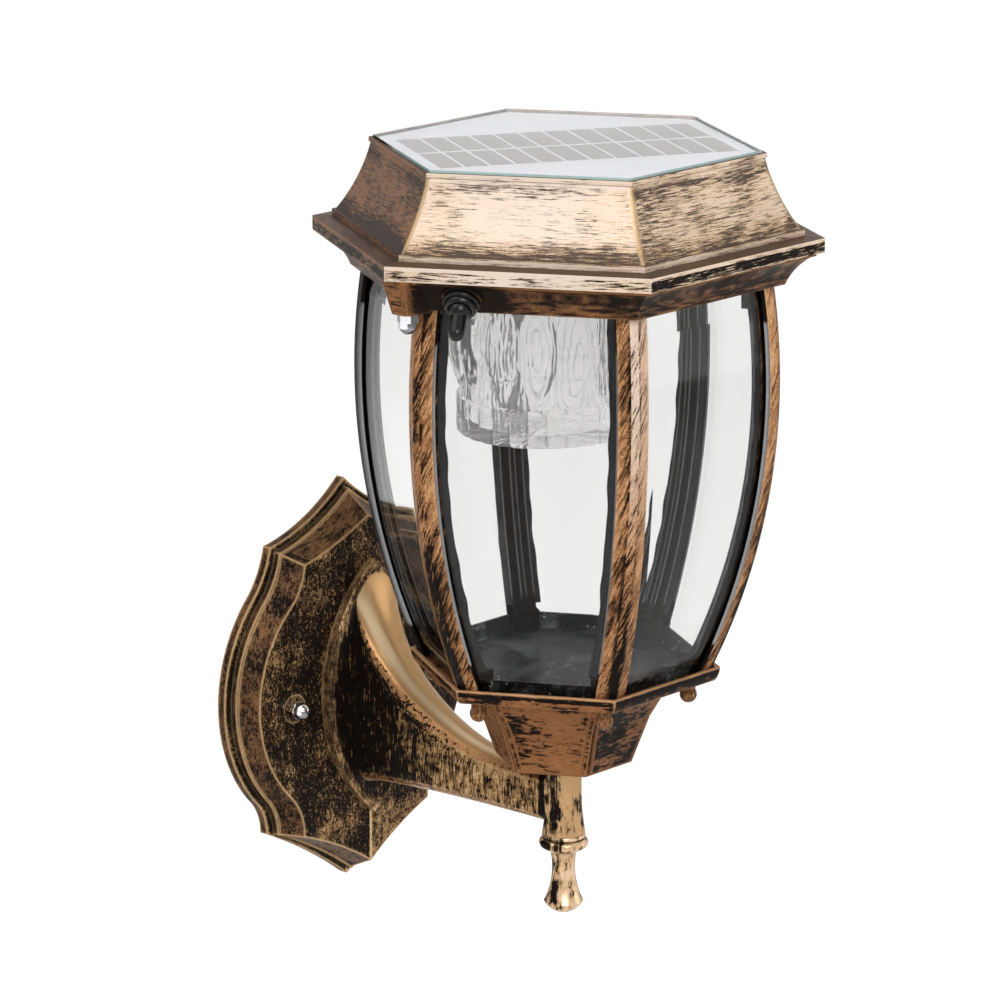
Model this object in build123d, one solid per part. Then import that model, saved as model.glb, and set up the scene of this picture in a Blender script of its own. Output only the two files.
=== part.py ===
from build123d import *
import os
from math import asin, atan2, cos, degrees, hypot, pi, radians, sin, tan

# Solar wall lantern: a six-sided glass lantern on a horn-shaped arm and a stepped wall plate.
# Millimetres. The origin is on the wall, midway between the two wall studs. +Z is up and -Y points
# away from the wall. Lantern pieces are drawn about their own upright axis, with height zero at the
# top edge of the hood's brim, and put in place by at_lantern. Azimuth 0 faces -Y, away from the wall.

# Lantern place
AXIS_REACH = 124.0
BRIM_LEVEL = 206.0

# Screw heads, in shank radii
HEAD_WIDTH_RATIO = 1.9
HEAD_HEIGHT_RATIO = 1.3
HEAD_ROUND_RATIO = 0.7

# Fits
SEAT_GAP = 0.3
SCREW_GAP = 0.25
PRESS_GAP = 0.05
LAMINATE_GAP = 0.15

# Hood, measured to its corners
HOOD_TOP_R = 77.4
HOOD_HEIGHT = 32.6
HOOD_WALL = 2.5
RIM_BAND = 1.8
RIM_STEP = 0.4
CAVETTO_FOOT_R = 91.0
CAVETTO_HOLLOW = 1.4
LIP_R = 92.2
LIP_TOP = 3.0
BRIM_R = 100.0
BRIM_FALL = 0.6
BRIM_THICK = 5.6
HIP_ROUND = 2.8

# Solar panel in the hood's top
RIM_WALL = 1.3
LEDGE_WIDTH = 6.0
LEDGE_THICK = 2.5
GLASS_THICK = 3.2
GLASS_PROUD = 0.9
SEAL_THICK = 1.1
SEAL_EDGE = 1.0
SHEET_THICK = 0.6
CELL_THICK = 0.2
CELL_COLUMNS = 12
CELL_ROWS = 2
CELL_WIDTH = 9.3
CELL_LENGTH = 29.2
CELL_SPACE = 0.6

# Cage ring under the hood, measured to its corners
RING_TOP_R = 96.8
RING_BAND = 1.5
COVE_TOP_R = 95.6
COVE_HOLLOW = 1.2
RING_BOTTOM_R = 85.0
RING_HEIGHT = 13.0
RING_WALL = 2.5
RING_FLANGE = 3.0
RING_OPENING_FLAT = 57.0

# Hood fixings at the two side corners
LUG_REACH = 87.5
LUG_INNER_R = 81.0
LUG_OUTER_R = 96.4
LUG_FOOT_R = 92.6
LUG_WIDTH = 14.0
LUG_FOOT_WIDTH = 10.0
LUG_DROP = 1.0
LUG_ROUND = 3.0
HOOD_STUD_R = 2.0
HOOD_STUD_GRIP = 4.5
HOOD_BOSS_R = 5.5

# Cage: bowed ribs at the corners, bent panes between them
CAGE_HEIGHT = 155.8
CAGE_FOOT_R = 57.3
BOW_PEAK_R = 83.4
BOW_PEAK_DROP = 40.4
RIB_NOSE = 3.2
RIB_WIDTH = 12.0
RIB_CAP = 1.4
RIB_WEB = 3.4
RIB_INNER_WIDTH = 9.6
RIB_DEPTH = 10.0
RIB_SPINE_WIDTH = 2.4
RIB_SPINE = 1.2
RIB_END_WIDTH = 9.0
RIB_END_DEPTH = 7.5
RIB_END_HEIGHT = 9.5
RIB_TAP_DEPTH = 8.0
RIB_END_INSET = 8.0
RIB_OVERRUN = 4.0
RIB_SCREW_R = 1.5
PANE_THICK = 3.0
PANE_BEVEL = 9.0
PANE_BEVEL_DEPTH = 1.2

# Base casting: tray lip, floor flange and tapered cup, its mouth set in from the ribs' foot screws
TRAY_LIP_HEIGHT = 3.1
TRAY_LIP_WALL = 1.5
TRAY_LIP_LOW_WALL = 1.0
TRAY_LIP_BULGE = 0.5
TRAY_FLOOR = 2.5
CUP_MOUTH_INSET = 5.8
CUP_WAIST_INSET = 9.3
CUP_WAIST_DROP = 16.2
CUP_FOOT_INSET = 16.5
CUP_HEIGHT = 35.5
CUP_WALL = 2.5
CUP_BOTTOM = 3.0
CUP_PANEL = 0.8
CUP_PANEL_MARGIN = 2.0
CUP_PANEL_CLIP = 5.0
PAN_SHEET = 1.2
PAN_RIM = 7.0
PAN_NOTCH = 12.6
DOME_NECK_R = 2.8
DOME_HEAD_R = 3.4
DOME_HEAD_DROP = 6.2

# Tie rod and finial
ROD_R = 3.0
ROD_NUT_FLATS = 10.0
ROD_NUT_HEIGHT = 5.0
ROD_WASHER_R = 7.5
ROD_WASHER_THICK = 1.2
ROD_TOP_SPARE = 4.0
ROD_GRIP = 14.0
BOSS_TOP_R = 7.7
BOSS_WAIST_R = 7.1
BOSS_FOOT_R = 8.6
BOSS_HEIGHT = 30.7
FINIAL_RING_R = 8.0
FINIAL_RING = 2.2
FINIAL_RING_BULGE = 0.7
FINIAL_BEAD_R = 8.6
FINIAL_BEAD = 3.8
FINIAL_BEAD_BULGE = 1.2
FINIAL_UNDER_R = 5.2
FINIAL_UNDER = 2.0
FINIAL_NECK_R = 4.6
FINIAL_FOOT_R = 7.8
FINIAL_NECK_DROP = 14.0
FINIAL_FOOT_DROP = 28.4
FINIAL_HEIGHT = 33.2

# Wall plate, points of the flange's outline
PLATE_TOP = 86.3
SHOULDER_X = 42.2
SHOULDER_Z = 65.0
FLANK_X = 53.7
FLANK_Z = 43.4
SIDE_X = 68.5
SIDE_Z = 2.0
LOW_FLANK_X = 52.5
LOW_FLANK_DROP = 39.0
LOW_SHOULDER_X = 45.8
LOW_SHOULDER_DROP = 54.5
PLATE_BOTTOM = 82.5
APEX_SCOOP = 3.4
FLANK_SCOOP = 1.8
FOOT_SCOOP = 1.5

# Ratios of an inset by which those points move sideways and in height
TOP_RATIO = 1.17
SHOULDER_RATIOS = (0.74, 0.65)
FLANK_RATIOS = (1.12, 0.18)
LOW_FLANK_RATIOS = (1.02, -0.13)
LOW_SHOULDER_RATIOS = (0.96, 0.09)
BOTTOM_RATIO = 0.78
SCOOP_RATIO = 0.2

# Wall plate, steps of its depth
FLANGE_THICK = 4.0
STEP_INSET = 3.4
STEP_DEPTH = 7.0
FRONT_FOOT_INSET = 4.6
FRONT_INSET = 11.3
RIDGE_DEPTH = 18.0
GABLE_FALL = 4.0
CAVITY_LAND = 6.0
CAVITY_TAPER = 6.0
CAVITY_DEPTH = 10.5

# Wall crossbar and studs
STUD_X = 41.0
STUD_R = 2.0
CROSSBAR_LENGTH = 100.0
CROSSBAR_WIDTH = 20.0
CROSSBAR_THICK = 1.5
CROSSBAR_RAISE = 4.0
CROSSBAR_FLAT = 58.0
WALL_SLOT_SPACING = 36.0
WALL_SLOT_R = 2.5
WALL_SLOT_LENGTH = 12.0
STUD_HEAD_R = 3.6
STUD_HEAD_THICK = 2.6
NUT_FLATS = 7.0
NUT_HEX = 3.2
NUT_DOME = 4.8
NUT_BORE = 2.4
NUT_GRIP = 1.6
NUT_SPOT_R = 5.5
NUT_SPOT_DEPTH = 0.4

# Arm
VESICA_TOP = 55.5
VESICA_BOTTOM = 52.0
VESICA_HALF_WIDTH = 26.5
VESICA_RISE = 4.0
VESICA_EDGE = 1.4
ARM_ROOT_TOP = 54.0
ARM_ROOT_BOTTOM = 38.0
ARM_END_HEIGHT = 20.9
ARM_END_DROP = 6.2
ARM_RUN_OUT = 15.0
ARM_ROOT_WIDTH = 24.0
ARM_END_WIDTH = 13.2
ARM_TOE_RATIO = 0.4
ARM_STEPS = 6
ARM_SCREW_R = 2.5
ARM_SCREW_HEIGHT = 15.0
ARM_SCREW_GRIP = 12.0

# Lamp: plate, light board and cut-glass diffuser, hung a little behind the lantern axis
LAMP_PLATE_FLAT = 63.0
LAMP_PLATE_CORNER = 68.0
LAMP_PLATE_THICK = 2.0
LAMP_SCREW_R = 1.5
LAMP_SCREW_FLAT = 60.2
LAMP_BACK = 11.5
LIGHT_BOARD_R = 22.0
LIGHT_BOARD_THICK = 1.6
LIGHT_CHIPS = 6
LIGHT_CHIP_R = 13.0
LIGHT_CHIP = 5.0
LIGHT_CHIP_THICK = 1.6
CRYSTAL_FLANGE_R = 38.0
CRYSTAL_FLANGE = 3.0
CRYSTAL_NECK_R = 31.5
CRYSTAL_BORE_R = 25.5
CRYSTAL_HEIGHT = 66.0
CRYSTAL_BAND_R = 33.5
CRYSTAL_BAND = 15.0
CRYSTAL_FLOOR = 4.0
PETALS = 14
PETAL_R = 7.2
PETAL_LENGTH = 46.0
PETAL_REACH = 30.0
CRYSTAL_RING_R = 44.0
CRYSTAL_RING_LIP = 2.0
CRYSTAL_SCREWS = 3
CRYSTAL_SCREW_R = 1.2

# Power: cell, holder, control board
BATTERY_R = 9.1
BATTERY_LENGTH = 65.0
BUTTON_R = 3.0
BUTTON_HEIGHT = 1.0
HOLDER_WALL = 2.0
HOLDER_HEIGHT = 13.0
BATTERY_FRONT = 26.0
CONTROL_WIDTH = 56.0
CONTROL_LENGTH = 34.0
CONTROL_THICK = 1.6
CONTROL_BACK = 24.0
COIL_R = 5.6
COIL_HEIGHT = 6.8
COIL_SIDE = 14.0
CHIP_WIDTH = 11.0
CHIP_LENGTH = 8.5
CHIP_HEIGHT = 3.2
CHIP_SIDE = 11.0
STANDOFF_R = 2.5
STANDOFF_HEIGHT = 5.0
STANDOFF_INSET = 4.0

# Toggle switch in the cage ring
SWITCH_FACE = -60.0
SWITCH_SIDE = 22.5
SWITCH_BUSH_R = 3.0
SWITCH_BODY_WIDTH = 13.0
SWITCH_BODY_HEIGHT = 8.0
SWITCH_BODY_DEPTH = 10.0
SWITCH_NUT_FLATS = 8.0
SWITCH_NUT_THICK = 2.0
SWITCH_PAD_R = 7.6
SWITCH_PAD_RISE = 0.8
BOOT_R = 7.0
BOOT_LIP = 1.5
BOOT_SKIRT = 2.2
BOOT_TIER_R = 6.2
BOOT_HEIGHT = 4.6
BOOT_MOUTH_R = 5.4
BOOT_ROUND = 0.4
BOOT_BALL_R = 4.3
BOOT_SLEEVE_R = 3.15
BOOT_REACH = 12.5
BUSH_RATIO = 0.75
PIVOT_RATIO = 0.87
BALL_CUT_RATIO = 0.28
LEVER_R = 1.5
LEVER_TIP_WALL = 2.0
LEVER_TILT = 16.0

COS30 = cos(radians(30))
TAN30 = tan(radians(30))
CORNERS = [-150, -90, -30, 30, 90, 150]
FACES = [-120, -60, 0, 60, 120, 180]
WIDE = 4 * BRIM_R


def flat(corner_radius):
    """Distance from the axis to a flat of the hexagon with this corner radius."""
    return corner_radius * COS30


def bowed(start, end, depth):
    """Arc between two points whose middle stands depth to the left of the chord."""
    dx = end[0] - start[0]
    dy = end[1] - start[1]
    span = hypot(dx, dy)
    middle = ((start[0] + end[0]) / 2 - dy / span * depth, (start[1] + end[1]) / 2 + dx / span * depth)
    return ThreePointArc(start, middle, end)


def hexagon(flat_distance):
    """Hexagon face with corners on the X axis."""
    radius = flat_distance / COS30
    corners = [(radius * cos(pi / 3 * k), radius * sin(pi / 3 * k)) for k in range(6)]
    return make_face(Polyline(*corners, close=True))


def hex_prism(flat_distance, low, high):
    """Upright hexagonal prism between two heights."""
    return extrude(Pos(0, 0, low) * hexagon(flat_distance), high - low)


def hex_form(edges):
    """Six-sided solid whose flats follow a half outline of (distance, height), closed on the axis."""
    half = make_face(edges)
    whole = half + mirror(half, Plane.YZ)
    slab = extrude(Plane.YZ * whole, WIDE, both=True)
    return slab & Rot(0, 0, 60) * slab & Rot(0, 0, 120) * slab


def turned_form(edges):
    """Solid of revolution about Z from a half outline of (radius, height), closed on the axis."""
    return revolve(Plane.XZ * make_face(edges), Axis.Z)


def dome(radius, base, rise):
    """Round cap's outline from a radius at a base height to the axis, downwards if the rise is negative."""
    ball = (radius ** 2 + rise ** 2) / (2 * rise)
    half_angle = asin(min(1, radius / abs(ball))) / 2
    middle = (radius / (2 * cos(half_angle)), base + rise - ball + ball * cos(half_angle))
    return ThreePointArc((radius, base), middle, (0, base + rise))


def rod(radius, low, high):
    """Upright cylinder between two heights."""
    return Pos(0, 0, low) * Cylinder(radius, high - low, align=(Align.CENTER, Align.CENTER, Align.MIN))


def around(shape, angles):
    """Copies of a shape turned about Z, as one list."""
    return [Rot(0, 0, angle) * shape for angle in angles]


def joined(shapes):
    """Separate solids kept together as one group."""
    return Compound(children=[solid for shape in shapes for solid in shape.solids()])


def at_lantern(shape):
    """Lantern frame to wall frame."""
    return Pos(0, -AXIS_REACH, BRIM_LEVEL) * shape


def outward(radius, height, azimuth):
    """Location at a radius and height in one azimuth, keeping Z up."""
    return Rot(0, 0, azimuth) * Pos(0, -radius, height)


# Heights in the lantern frame, from the brim's top edge, and distances from its axis
ring_top = -BRIM_THICK
ring_bottom = ring_top - RING_HEIGHT
flange_top = ring_bottom + RING_FLANGE
cage_top = ring_bottom
cage_bottom = cage_top - CAGE_HEIGHT
bow_level = cage_top - BOW_PEAK_DROP
bow_fall = BOW_PEAK_R - CAGE_FOOT_R
bow_drop = CAGE_HEIGHT - BOW_PEAK_DROP
bow_r = (bow_drop ** 2 + bow_fall ** 2) / (2 * bow_fall)
floor_low = cage_bottom - TRAY_FLOOR
cup_low = floor_low - CUP_HEIGHT
boss_low = cup_low - BOSS_HEIGHT
rim_top = HOOD_HEIGHT - GLASS_PROUD
glass_low = HOOD_HEIGHT - GLASS_THICK
cells_low = glass_low - LAMINATE_GAP - CELL_THICK
sheet_low = cells_low - SHEET_THICK
pocket_floor = sheet_low - SEAL_THICK
hood_roof = pocket_floor - LEDGE_THICK
rim_flat = flat(HOOD_TOP_R)
pocket_flat = rim_flat - RIM_WALL
glass_flat = pocket_flat - SEAT_GAP
ledge_flat = pocket_flat - LEDGE_WIDTH
rib_foot_reach = CAGE_FOOT_R - RIB_END_INSET
cup_mouth_r = rib_foot_reach - CUP_MOUTH_INSET
cup_waist_r = cup_mouth_r - CUP_WAIST_INSET
cup_foot_r = cup_mouth_r - CUP_FOOT_INSET
lamp_low = flange_top
lamp_high = lamp_low + LAMP_PLATE_THICK

# Heights in the switch frame, from the pad's face
wall_back = -SWITCH_PAD_RISE - RING_WALL
nut_back = wall_back - SWITCH_NUT_THICK
bush_top = BOOT_SKIRT * BUSH_RATIO
pivot = BOOT_HEIGHT * PIVOT_RATIO
ball_cut = BOOT_BALL_R * BALL_CUT_RATIO


def cavetto(inset):
    """Hollow side of the hood between rim and lip, moved inwards by inset."""
    high = (rim_flat - RIM_STEP - inset, rim_top - RIM_BAND)
    low = (flat(CAVETTO_FOOT_R) - inset, LIP_TOP)
    return high, low, bowed(high, low, -CAVETTO_HOLLOW)


def hood():
    """Cast hood: rim round the panel, cavetto sides, lip and brim, with a boss for each fixing stud."""
    high, low, side = cavetto(0)
    crown = Polyline((0, -BRIM_THICK), (0, rim_top), (rim_flat, rim_top),
                     (rim_flat, rim_top - RIM_BAND), high)
    brim = Polyline(low, (flat(LIP_R), LIP_TOP), (flat(LIP_R), BRIM_FALL), (flat(BRIM_R), 0),
                    (flat(BRIM_R), -BRIM_THICK), (0, -BRIM_THICK))
    outside = hex_form([*crown.edges(), side, *brim.edges()])
    hips = [edge for edge in outside.edges() if edge.bounding_box().size.Z > HOOD_HEIGHT / 2]
    outside = fillet(hips, HIP_ROUND)
    inner_high, inner_low, inner_side = cavetto(HOOD_WALL)
    ceiling = min(hood_roof, inner_high[1])
    inner_top = Polyline((0, -BRIM_THICK), (0, inner_high[1]), inner_high)
    inner_foot = Polyline(inner_low, (inner_low[0], -BRIM_THICK), (0, -BRIM_THICK))
    hollow = hex_form([*inner_top.edges(), inner_side, *inner_foot.edges()])
    hollow = hollow & hex_prism(WIDE, -BRIM_THICK, ceiling)
    shell = outside - hollow
    boss = Pos(LUG_REACH, 0, 0) * rod(HOOD_BOSS_R, -BRIM_THICK, HOOD_STUD_GRIP)
    shell = shell + [Rot(0, 0, turn) * boss & outside for turn in (0, 180)]
    shell = shell - hex_prism(ledge_flat, -BRIM_THICK, HOOD_HEIGHT)
    shell = shell - hex_prism(pocket_flat, pocket_floor, HOOD_HEIGHT)
    hole = Pos(LUG_REACH, 0, 0) * rod(HOOD_STUD_R + PRESS_GAP, -BRIM_THICK, HOOD_STUD_GRIP - HOOD_WALL)
    return shell - around(hole, (0, 180))


def panel_seal():
    """Stepped seal round the hood's ledge: its edge carries the glass, its step the white sheet."""
    outside = hex_prism(glass_flat, pocket_floor, glass_low)
    step = hex_prism(glass_flat - SEAL_EDGE, sheet_low, glass_low)
    return outside - step - hex_prism(ledge_flat, pocket_floor, sheet_low)


def solar_glass():
    """Cover glass of the panel, a little proud of the hood's rim."""
    return hex_prism(glass_flat, glass_low, HOOD_HEIGHT)


def solar_cells():
    """Two rows of cut cells under the glass, laid from one side flat to the opposite one."""
    pitch_x = CELL_WIDTH + CELL_SPACE
    pitch_y = CELL_LENGTH + CELL_SPACE
    cells = []
    for column in range(CELL_COLUMNS):
        for row in range(CELL_ROWS):
            x = (column - (CELL_COLUMNS - 1) / 2) * pitch_x
            y = (row - (CELL_ROWS - 1) / 2) * pitch_y
            cells.append(Pos(x, y, cells_low + CELL_THICK / 2) * Box(CELL_WIDTH, CELL_LENGTH, CELL_THICK))
    return Rot(0, 0, -30) * joined(cells)


def solar_backsheet():
    """White sheet behind the cells, as wide as the seal lets it be."""
    return hex_prism(glass_flat - SEAL_EDGE - PRESS_GAP, sheet_low, cells_low)


def cove(inset):
    """Hollow side of the cage ring, moved inwards by inset."""
    high = (flat(COVE_TOP_R) - inset, ring_top - RING_BAND)
    low = (flat(RING_BOTTOM_R) - inset, ring_bottom)
    return high, low, bowed(high, low, -COVE_HOLLOW)


def switch_plane():
    """Plane of the switch pad on the ring's front face: +Z leaves the hollow side squarely."""
    high, low, side = cove(0)
    slope = atan2(high[0] - low[0], high[1] - low[1])
    axis = (0, -cos(slope), -sin(slope))
    middle = (-SWITCH_SIDE, -(high[0] + low[0]) / 2, (high[1] + low[1]) / 2)
    seat = Plane(origin=middle, x_dir=(1, 0, 0), z_dir=axis)
    return seat.offset(SWITCH_PAD_RISE)


def at_switch(shape):
    """Switch frame to lantern frame."""
    return Rot(0, 0, SWITCH_FACE) * switch_plane().location * shape


def lug_slice(outer, width, height):
    """Level slice of a tapered lug, from the lugs' inner side to a radius, its outer corners rounded."""
    length = outer - LUG_INNER_R
    slab = Rectangle(length, width)
    slab = fillet(slab.vertices().group_by(Axis.X)[-1], LUG_ROUND)
    return Pos(LUG_INNER_R + length / 2, 0, height) * slab


def cage_ring():
    """Cast ring under the hood: hollow skirt, flange for ribs and lamp plate, two lugs, switch pad."""
    high, low, side = cove(0)
    band = Polyline((0, ring_bottom), (0, ring_top), (flat(RING_TOP_R), ring_top),
                    (flat(RING_TOP_R), ring_top - RING_BAND), high)
    foot = Polyline(low, (0, ring_bottom))
    ring = hex_form([*band.edges(), side, *foot.edges()])
    wall = cove(RING_WALL)
    hollow_edges = Polyline((0, flange_top), (0, ring_top), (wall[0][0], ring_top), wall[0])
    hollow_foot = Polyline(wall[1], (0, ring_bottom), (0, flange_top))
    hollow = hex_form([*hollow_edges.edges(), wall[2], *hollow_foot.edges()])
    hollow = hollow & hex_prism(WIDE, flange_top, ring_top)
    pad = at_switch(rod(SWITCH_PAD_R, -SWITCH_PAD_RISE - RING_WALL, 0))
    pad = pad & hex_prism(WIDE, ring_bottom, ring_top)
    lug_low = ring_bottom - LUG_DROP
    lug_top = lug_slice(LUG_OUTER_R, LUG_WIDTH, ring_top)
    lug_foot = lug_slice(LUG_FOOT_R, LUG_FOOT_WIDTH, lug_low)
    lug = loft([lug_foot, lug_top], ruled=True)
    body = ring - hollow - hex_prism(RING_OPENING_FLAT, ring_bottom, flange_top)
    body = body + [pad] + around(lug, (0, 180))
    hole = Pos(LUG_REACH, 0, 0) * rod(HOOD_STUD_R + SCREW_GAP, lug_low, ring_top)
    body = body - around(hole, (0, 180))
    body = body - at_switch(rod(SWITCH_BUSH_R + PRESS_GAP, wall_back, 0))
    body = body - at_switch(rod(SWITCH_PAD_R, nut_back, wall_back))
    rib_hole = outward(rib_screw_reach(), 0, 0) * rod(RIB_SCREW_R + SCREW_GAP, ring_bottom, flange_top)
    lamp_hole = Pos(0, -LAMP_SCREW_FLAT, 0) * rod(LAMP_SCREW_R + PRESS_GAP, ring_bottom, flange_top)
    return body - around(rib_hole, CORNERS) - around(lamp_hole, FACES)


def bow_reach(height):
    """Corner radius of the ribs' nose line at a height."""
    drop = height - bow_level
    return BOW_PEAK_R - bow_r + (bow_r ** 2 - drop ** 2) ** 0.5


def rib_screw_reach():
    """Radius of the screws into the ribs' upper ends."""
    return bow_reach(cage_top) - RIB_END_INSET


def pane_bend():
    """Centre distance and radius of the panes' outer face, seen from the side."""
    nose_to_pane = (RIB_CAP + SEAT_GAP) / COS30 - RIB_NOSE / 2 * TAN30
    bend = (bow_r - nose_to_pane) / COS30
    return flat(BOW_PEAK_R - nose_to_pane) - bend, bend


def pane_blank(thicker, edge, low, high):
    """Bent pane of the front face, thickened all round by thicker, its sides edge from the corner planes."""
    centre, bend = pane_bend()
    outer = Pos(centre, bow_level) * Circle(bend + thicker)
    inner = Pos(centre, bow_level) * Circle(bend - PANE_THICK - thicker)
    window = Pos(BRIM_R / 2, (low + high) / 2) * Rectangle(BRIM_R, high - low)
    strip = extrude(Plane.YZ * mirror((outer - inner) & window, Plane.YZ), BRIM_R, both=True)
    reach = 2 * BRIM_R
    half = reach * TAN30 - edge / COS30
    wedge = make_face(Polyline((0, -edge / sin(radians(30))), (half, -reach), (-half, -reach), close=True))
    return strip & extrude(Pos(0, 0, low) * wedge, high - low)


def pane():
    """Clear bent pane with a broad bevel round its outer face."""
    blank = pane_blank(0, RIB_WEB / 2 + SEAT_GAP, cage_bottom + SEAT_GAP, cage_top - SEAT_GAP)
    face = blank.faces().filter_by(GeomType.CYLINDER).sort_by(Axis.Y)[0]
    return chamfer(face.edges(), PANE_BEVEL, PANE_BEVEL_DEPTH, reference=face)


def rib():
    """Bowed rib at the front: faceted cap outside, web between the panes, spined bar inside, tapped ends."""
    slope = TAN30
    cap_edge = -(RIB_WIDTH / 2 - RIB_NOSE / 2) * slope
    cap_foot = cap_edge - RIB_CAP / COS30
    half = [(RIB_NOSE / 2, 0), (RIB_WIDTH / 2, cap_edge), (RIB_WIDTH / 2, cap_foot),
            (RIB_INNER_WIDTH / 2, cap_foot), (RIB_INNER_WIDTH / 2, -RIB_DEPTH),
            (RIB_SPINE_WIDTH / 2, -RIB_DEPTH), (RIB_SPINE_WIDTH / 2, -RIB_DEPTH - RIB_SPINE)]
    outline = half + [(-x, v) for x, v in reversed(half)]
    section = make_face(Polyline(*[(x, -BOW_PEAK_R - v) for x, v in outline], close=True))
    bow_axis = Axis((0, bow_r - BOW_PEAK_R, bow_level), (1, 0, 0))
    up = degrees(asin(BOW_PEAK_DROP / bow_r)) + RIB_OVERRUN
    down = degrees(asin(bow_drop / bow_r)) + RIB_OVERRUN
    section = (Pos(0, 0, bow_level) * section).rotate(bow_axis, -up)
    bar = revolve(section, bow_axis, up + down)
    block = Box(RIB_END_WIDTH, RIB_END_DEPTH, RIB_END_HEIGHT)
    foot = Pos(0, -rib_foot_reach, cage_bottom + RIB_END_HEIGHT / 2)
    head = Pos(0, -rib_screw_reach(), cage_top - RIB_END_HEIGHT / 2)
    bar = (bar + [foot * block, head * block]) & hex_prism(WIDE, cage_bottom, cage_top)
    slot = pane_blank(SEAT_GAP, RIB_WEB / 2, cage_bottom, cage_top)
    tap_r = RIB_SCREW_R + PRESS_GAP
    foot_tap = Pos(0, -rib_foot_reach, 0) * rod(tap_r, cage_bottom, cage_bottom + RIB_TAP_DEPTH)
    head_tap = Pos(0, -rib_screw_reach(), 0) * rod(tap_r, cage_top - RIB_TAP_DEPTH, cage_top)
    return bar - around(slot, (-30, 30)) - foot_tap - head_tap


def pane_reach(height, depth):
    """Flat distance of the pane's surface that lies depth behind its outer face, at a height."""
    centre, bend = pane_bend()
    return centre + ((bend - depth) ** 2 - (height - bow_level) ** 2) ** 0.5


def lip_inside(height):
    """Flat distance of the tray lip's inner side, just clear of the ribs' caps."""
    return flat(bow_reach(height)) + RIB_NOSE / 2 * sin(radians(30)) + SEAT_GAP


def cup_corner(height):
    """Corner radius of the cup's upper part at a height."""
    return cup_mouth_r - (cup_mouth_r - cup_waist_r) * (floor_low - height) / CUP_WAIST_DROP


def cup_form(inset, high, low):
    """Tapered six-sided cup, moved inwards by inset, between two heights."""
    points = [(0, cup_low), (flat(cup_foot_r) - inset, cup_low),
              (flat(cup_waist_r) - inset, floor_low - CUP_WAIST_DROP),
              (flat(cup_mouth_r) - inset, floor_low), (flat(cup_mouth_r) - inset, cage_bottom),
              (0, cage_bottom)]
    return hex_form(Polyline(*points, close=True).edges()) & hex_prism(WIDE, low, high)


def cup_panel():
    """Raised panel on the cup's front face, with its upper corners clipped."""
    clip_height = floor_low - CUP_PANEL_CLIP
    clip_half = cup_corner(clip_height) / 2 - CUP_PANEL_MARGIN
    half = [(cup_foot_r / 2 - CUP_PANEL_MARGIN, cup_low + CUP_PANEL),
            (cup_waist_r / 2 - CUP_PANEL_MARGIN, floor_low - CUP_WAIST_DROP),
            (clip_half, clip_height), (clip_half - CUP_PANEL_CLIP, floor_low - CUP_PANEL)]
    outline = half + [(-x, z) for x, z in reversed(half)]
    mask = extrude(Plane.XZ * make_face(Polyline(*outline, close=True)), cup_mouth_r + CUP_PANEL)
    return mask & cup_form(-CUP_PANEL, floor_low, cup_low)


def base_casting():
    """Tray lip, floor flange and panelled cup in one casting, open at the top."""
    lip_top = cage_bottom + TRAY_LIP_HEIGHT
    low = (lip_inside(cage_bottom) + TRAY_LIP_LOW_WALL, floor_low)
    high = (lip_inside(lip_top) + TRAY_LIP_WALL, lip_top)
    rest = Polyline(high, (0, lip_top), (0, floor_low), low)
    tray = hex_form([bowed(low, high, -TRAY_LIP_BULGE), *rest.edges()])
    inside = Polyline((0, cage_bottom), (lip_inside(cage_bottom), cage_bottom),
                      (lip_inside(lip_top), lip_top), (0, lip_top), close=True)
    tray = tray - hex_form(inside.edges())
    casting = tray + cup_form(0, floor_low, cup_low) + around(cup_panel(), FACES)
    casting = casting - cup_form(CUP_WALL, cage_bottom, cup_low + CUP_BOTTOM)
    casting = casting - rod(ROD_R + SCREW_GAP, cup_low, cage_bottom)
    hole = outward(rib_foot_reach, 0, 0) * rod(RIB_SCREW_R + SCREW_GAP, floor_low, cage_bottom)
    return casting - around(hole, CORNERS)


def floor_pan():
    """Black sheet pan over the cup's mouth: its upturned rim stands behind the panes' lower edges."""
    rim_top = cage_bottom + PAN_RIM
    low = pane_reach(cage_bottom, PANE_THICK) - SEAT_GAP
    high = pane_reach(rim_top, PANE_THICK) - SEAT_GAP
    outside = Polyline((0, cage_bottom), (low, cage_bottom), (high, rim_top), (0, rim_top), close=True)
    inside = Polyline((0, cage_bottom + PAN_SHEET), (low - PAN_SHEET, cage_bottom + PAN_SHEET),
                      (high - PAN_SHEET, rim_top), (0, rim_top), close=True)
    pan = hex_form(outside.edges()) - hex_form(inside.edges())
    lean = cos(asin(bow_drop / bow_r))
    spine_inside = CAGE_FOOT_R - (RIB_DEPTH + RIB_SPINE) / lean
    end_inside = rib_foot_reach - RIB_END_DEPTH / 2
    notch_from = min(spine_inside, end_inside) - SEAT_GAP
    notch = Pos(0, -notch_from - BRIM_R / 2, cage_bottom + PAN_RIM / 2) * Box(PAN_NOTCH, BRIM_R, PAN_RIM)
    return pan - around(notch, CORNERS)


def pan_head_screw(radius, length):
    """Screw with its head standing on height zero and its shank hanging below."""
    head = rod(radius * HEAD_WIDTH_RATIO, 0, radius * HEAD_HEIGHT_RATIO)
    head = fillet(head.edges().group_by(Axis.Z)[-1], radius * HEAD_ROUND_RATIO)
    return head + rod(radius, -length, 0)


def hex_nut(flats, low, high, bore):
    """Plain nut about Z."""
    return hex_prism(flats / 2, low, high) - rod(bore, low, high)


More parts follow.
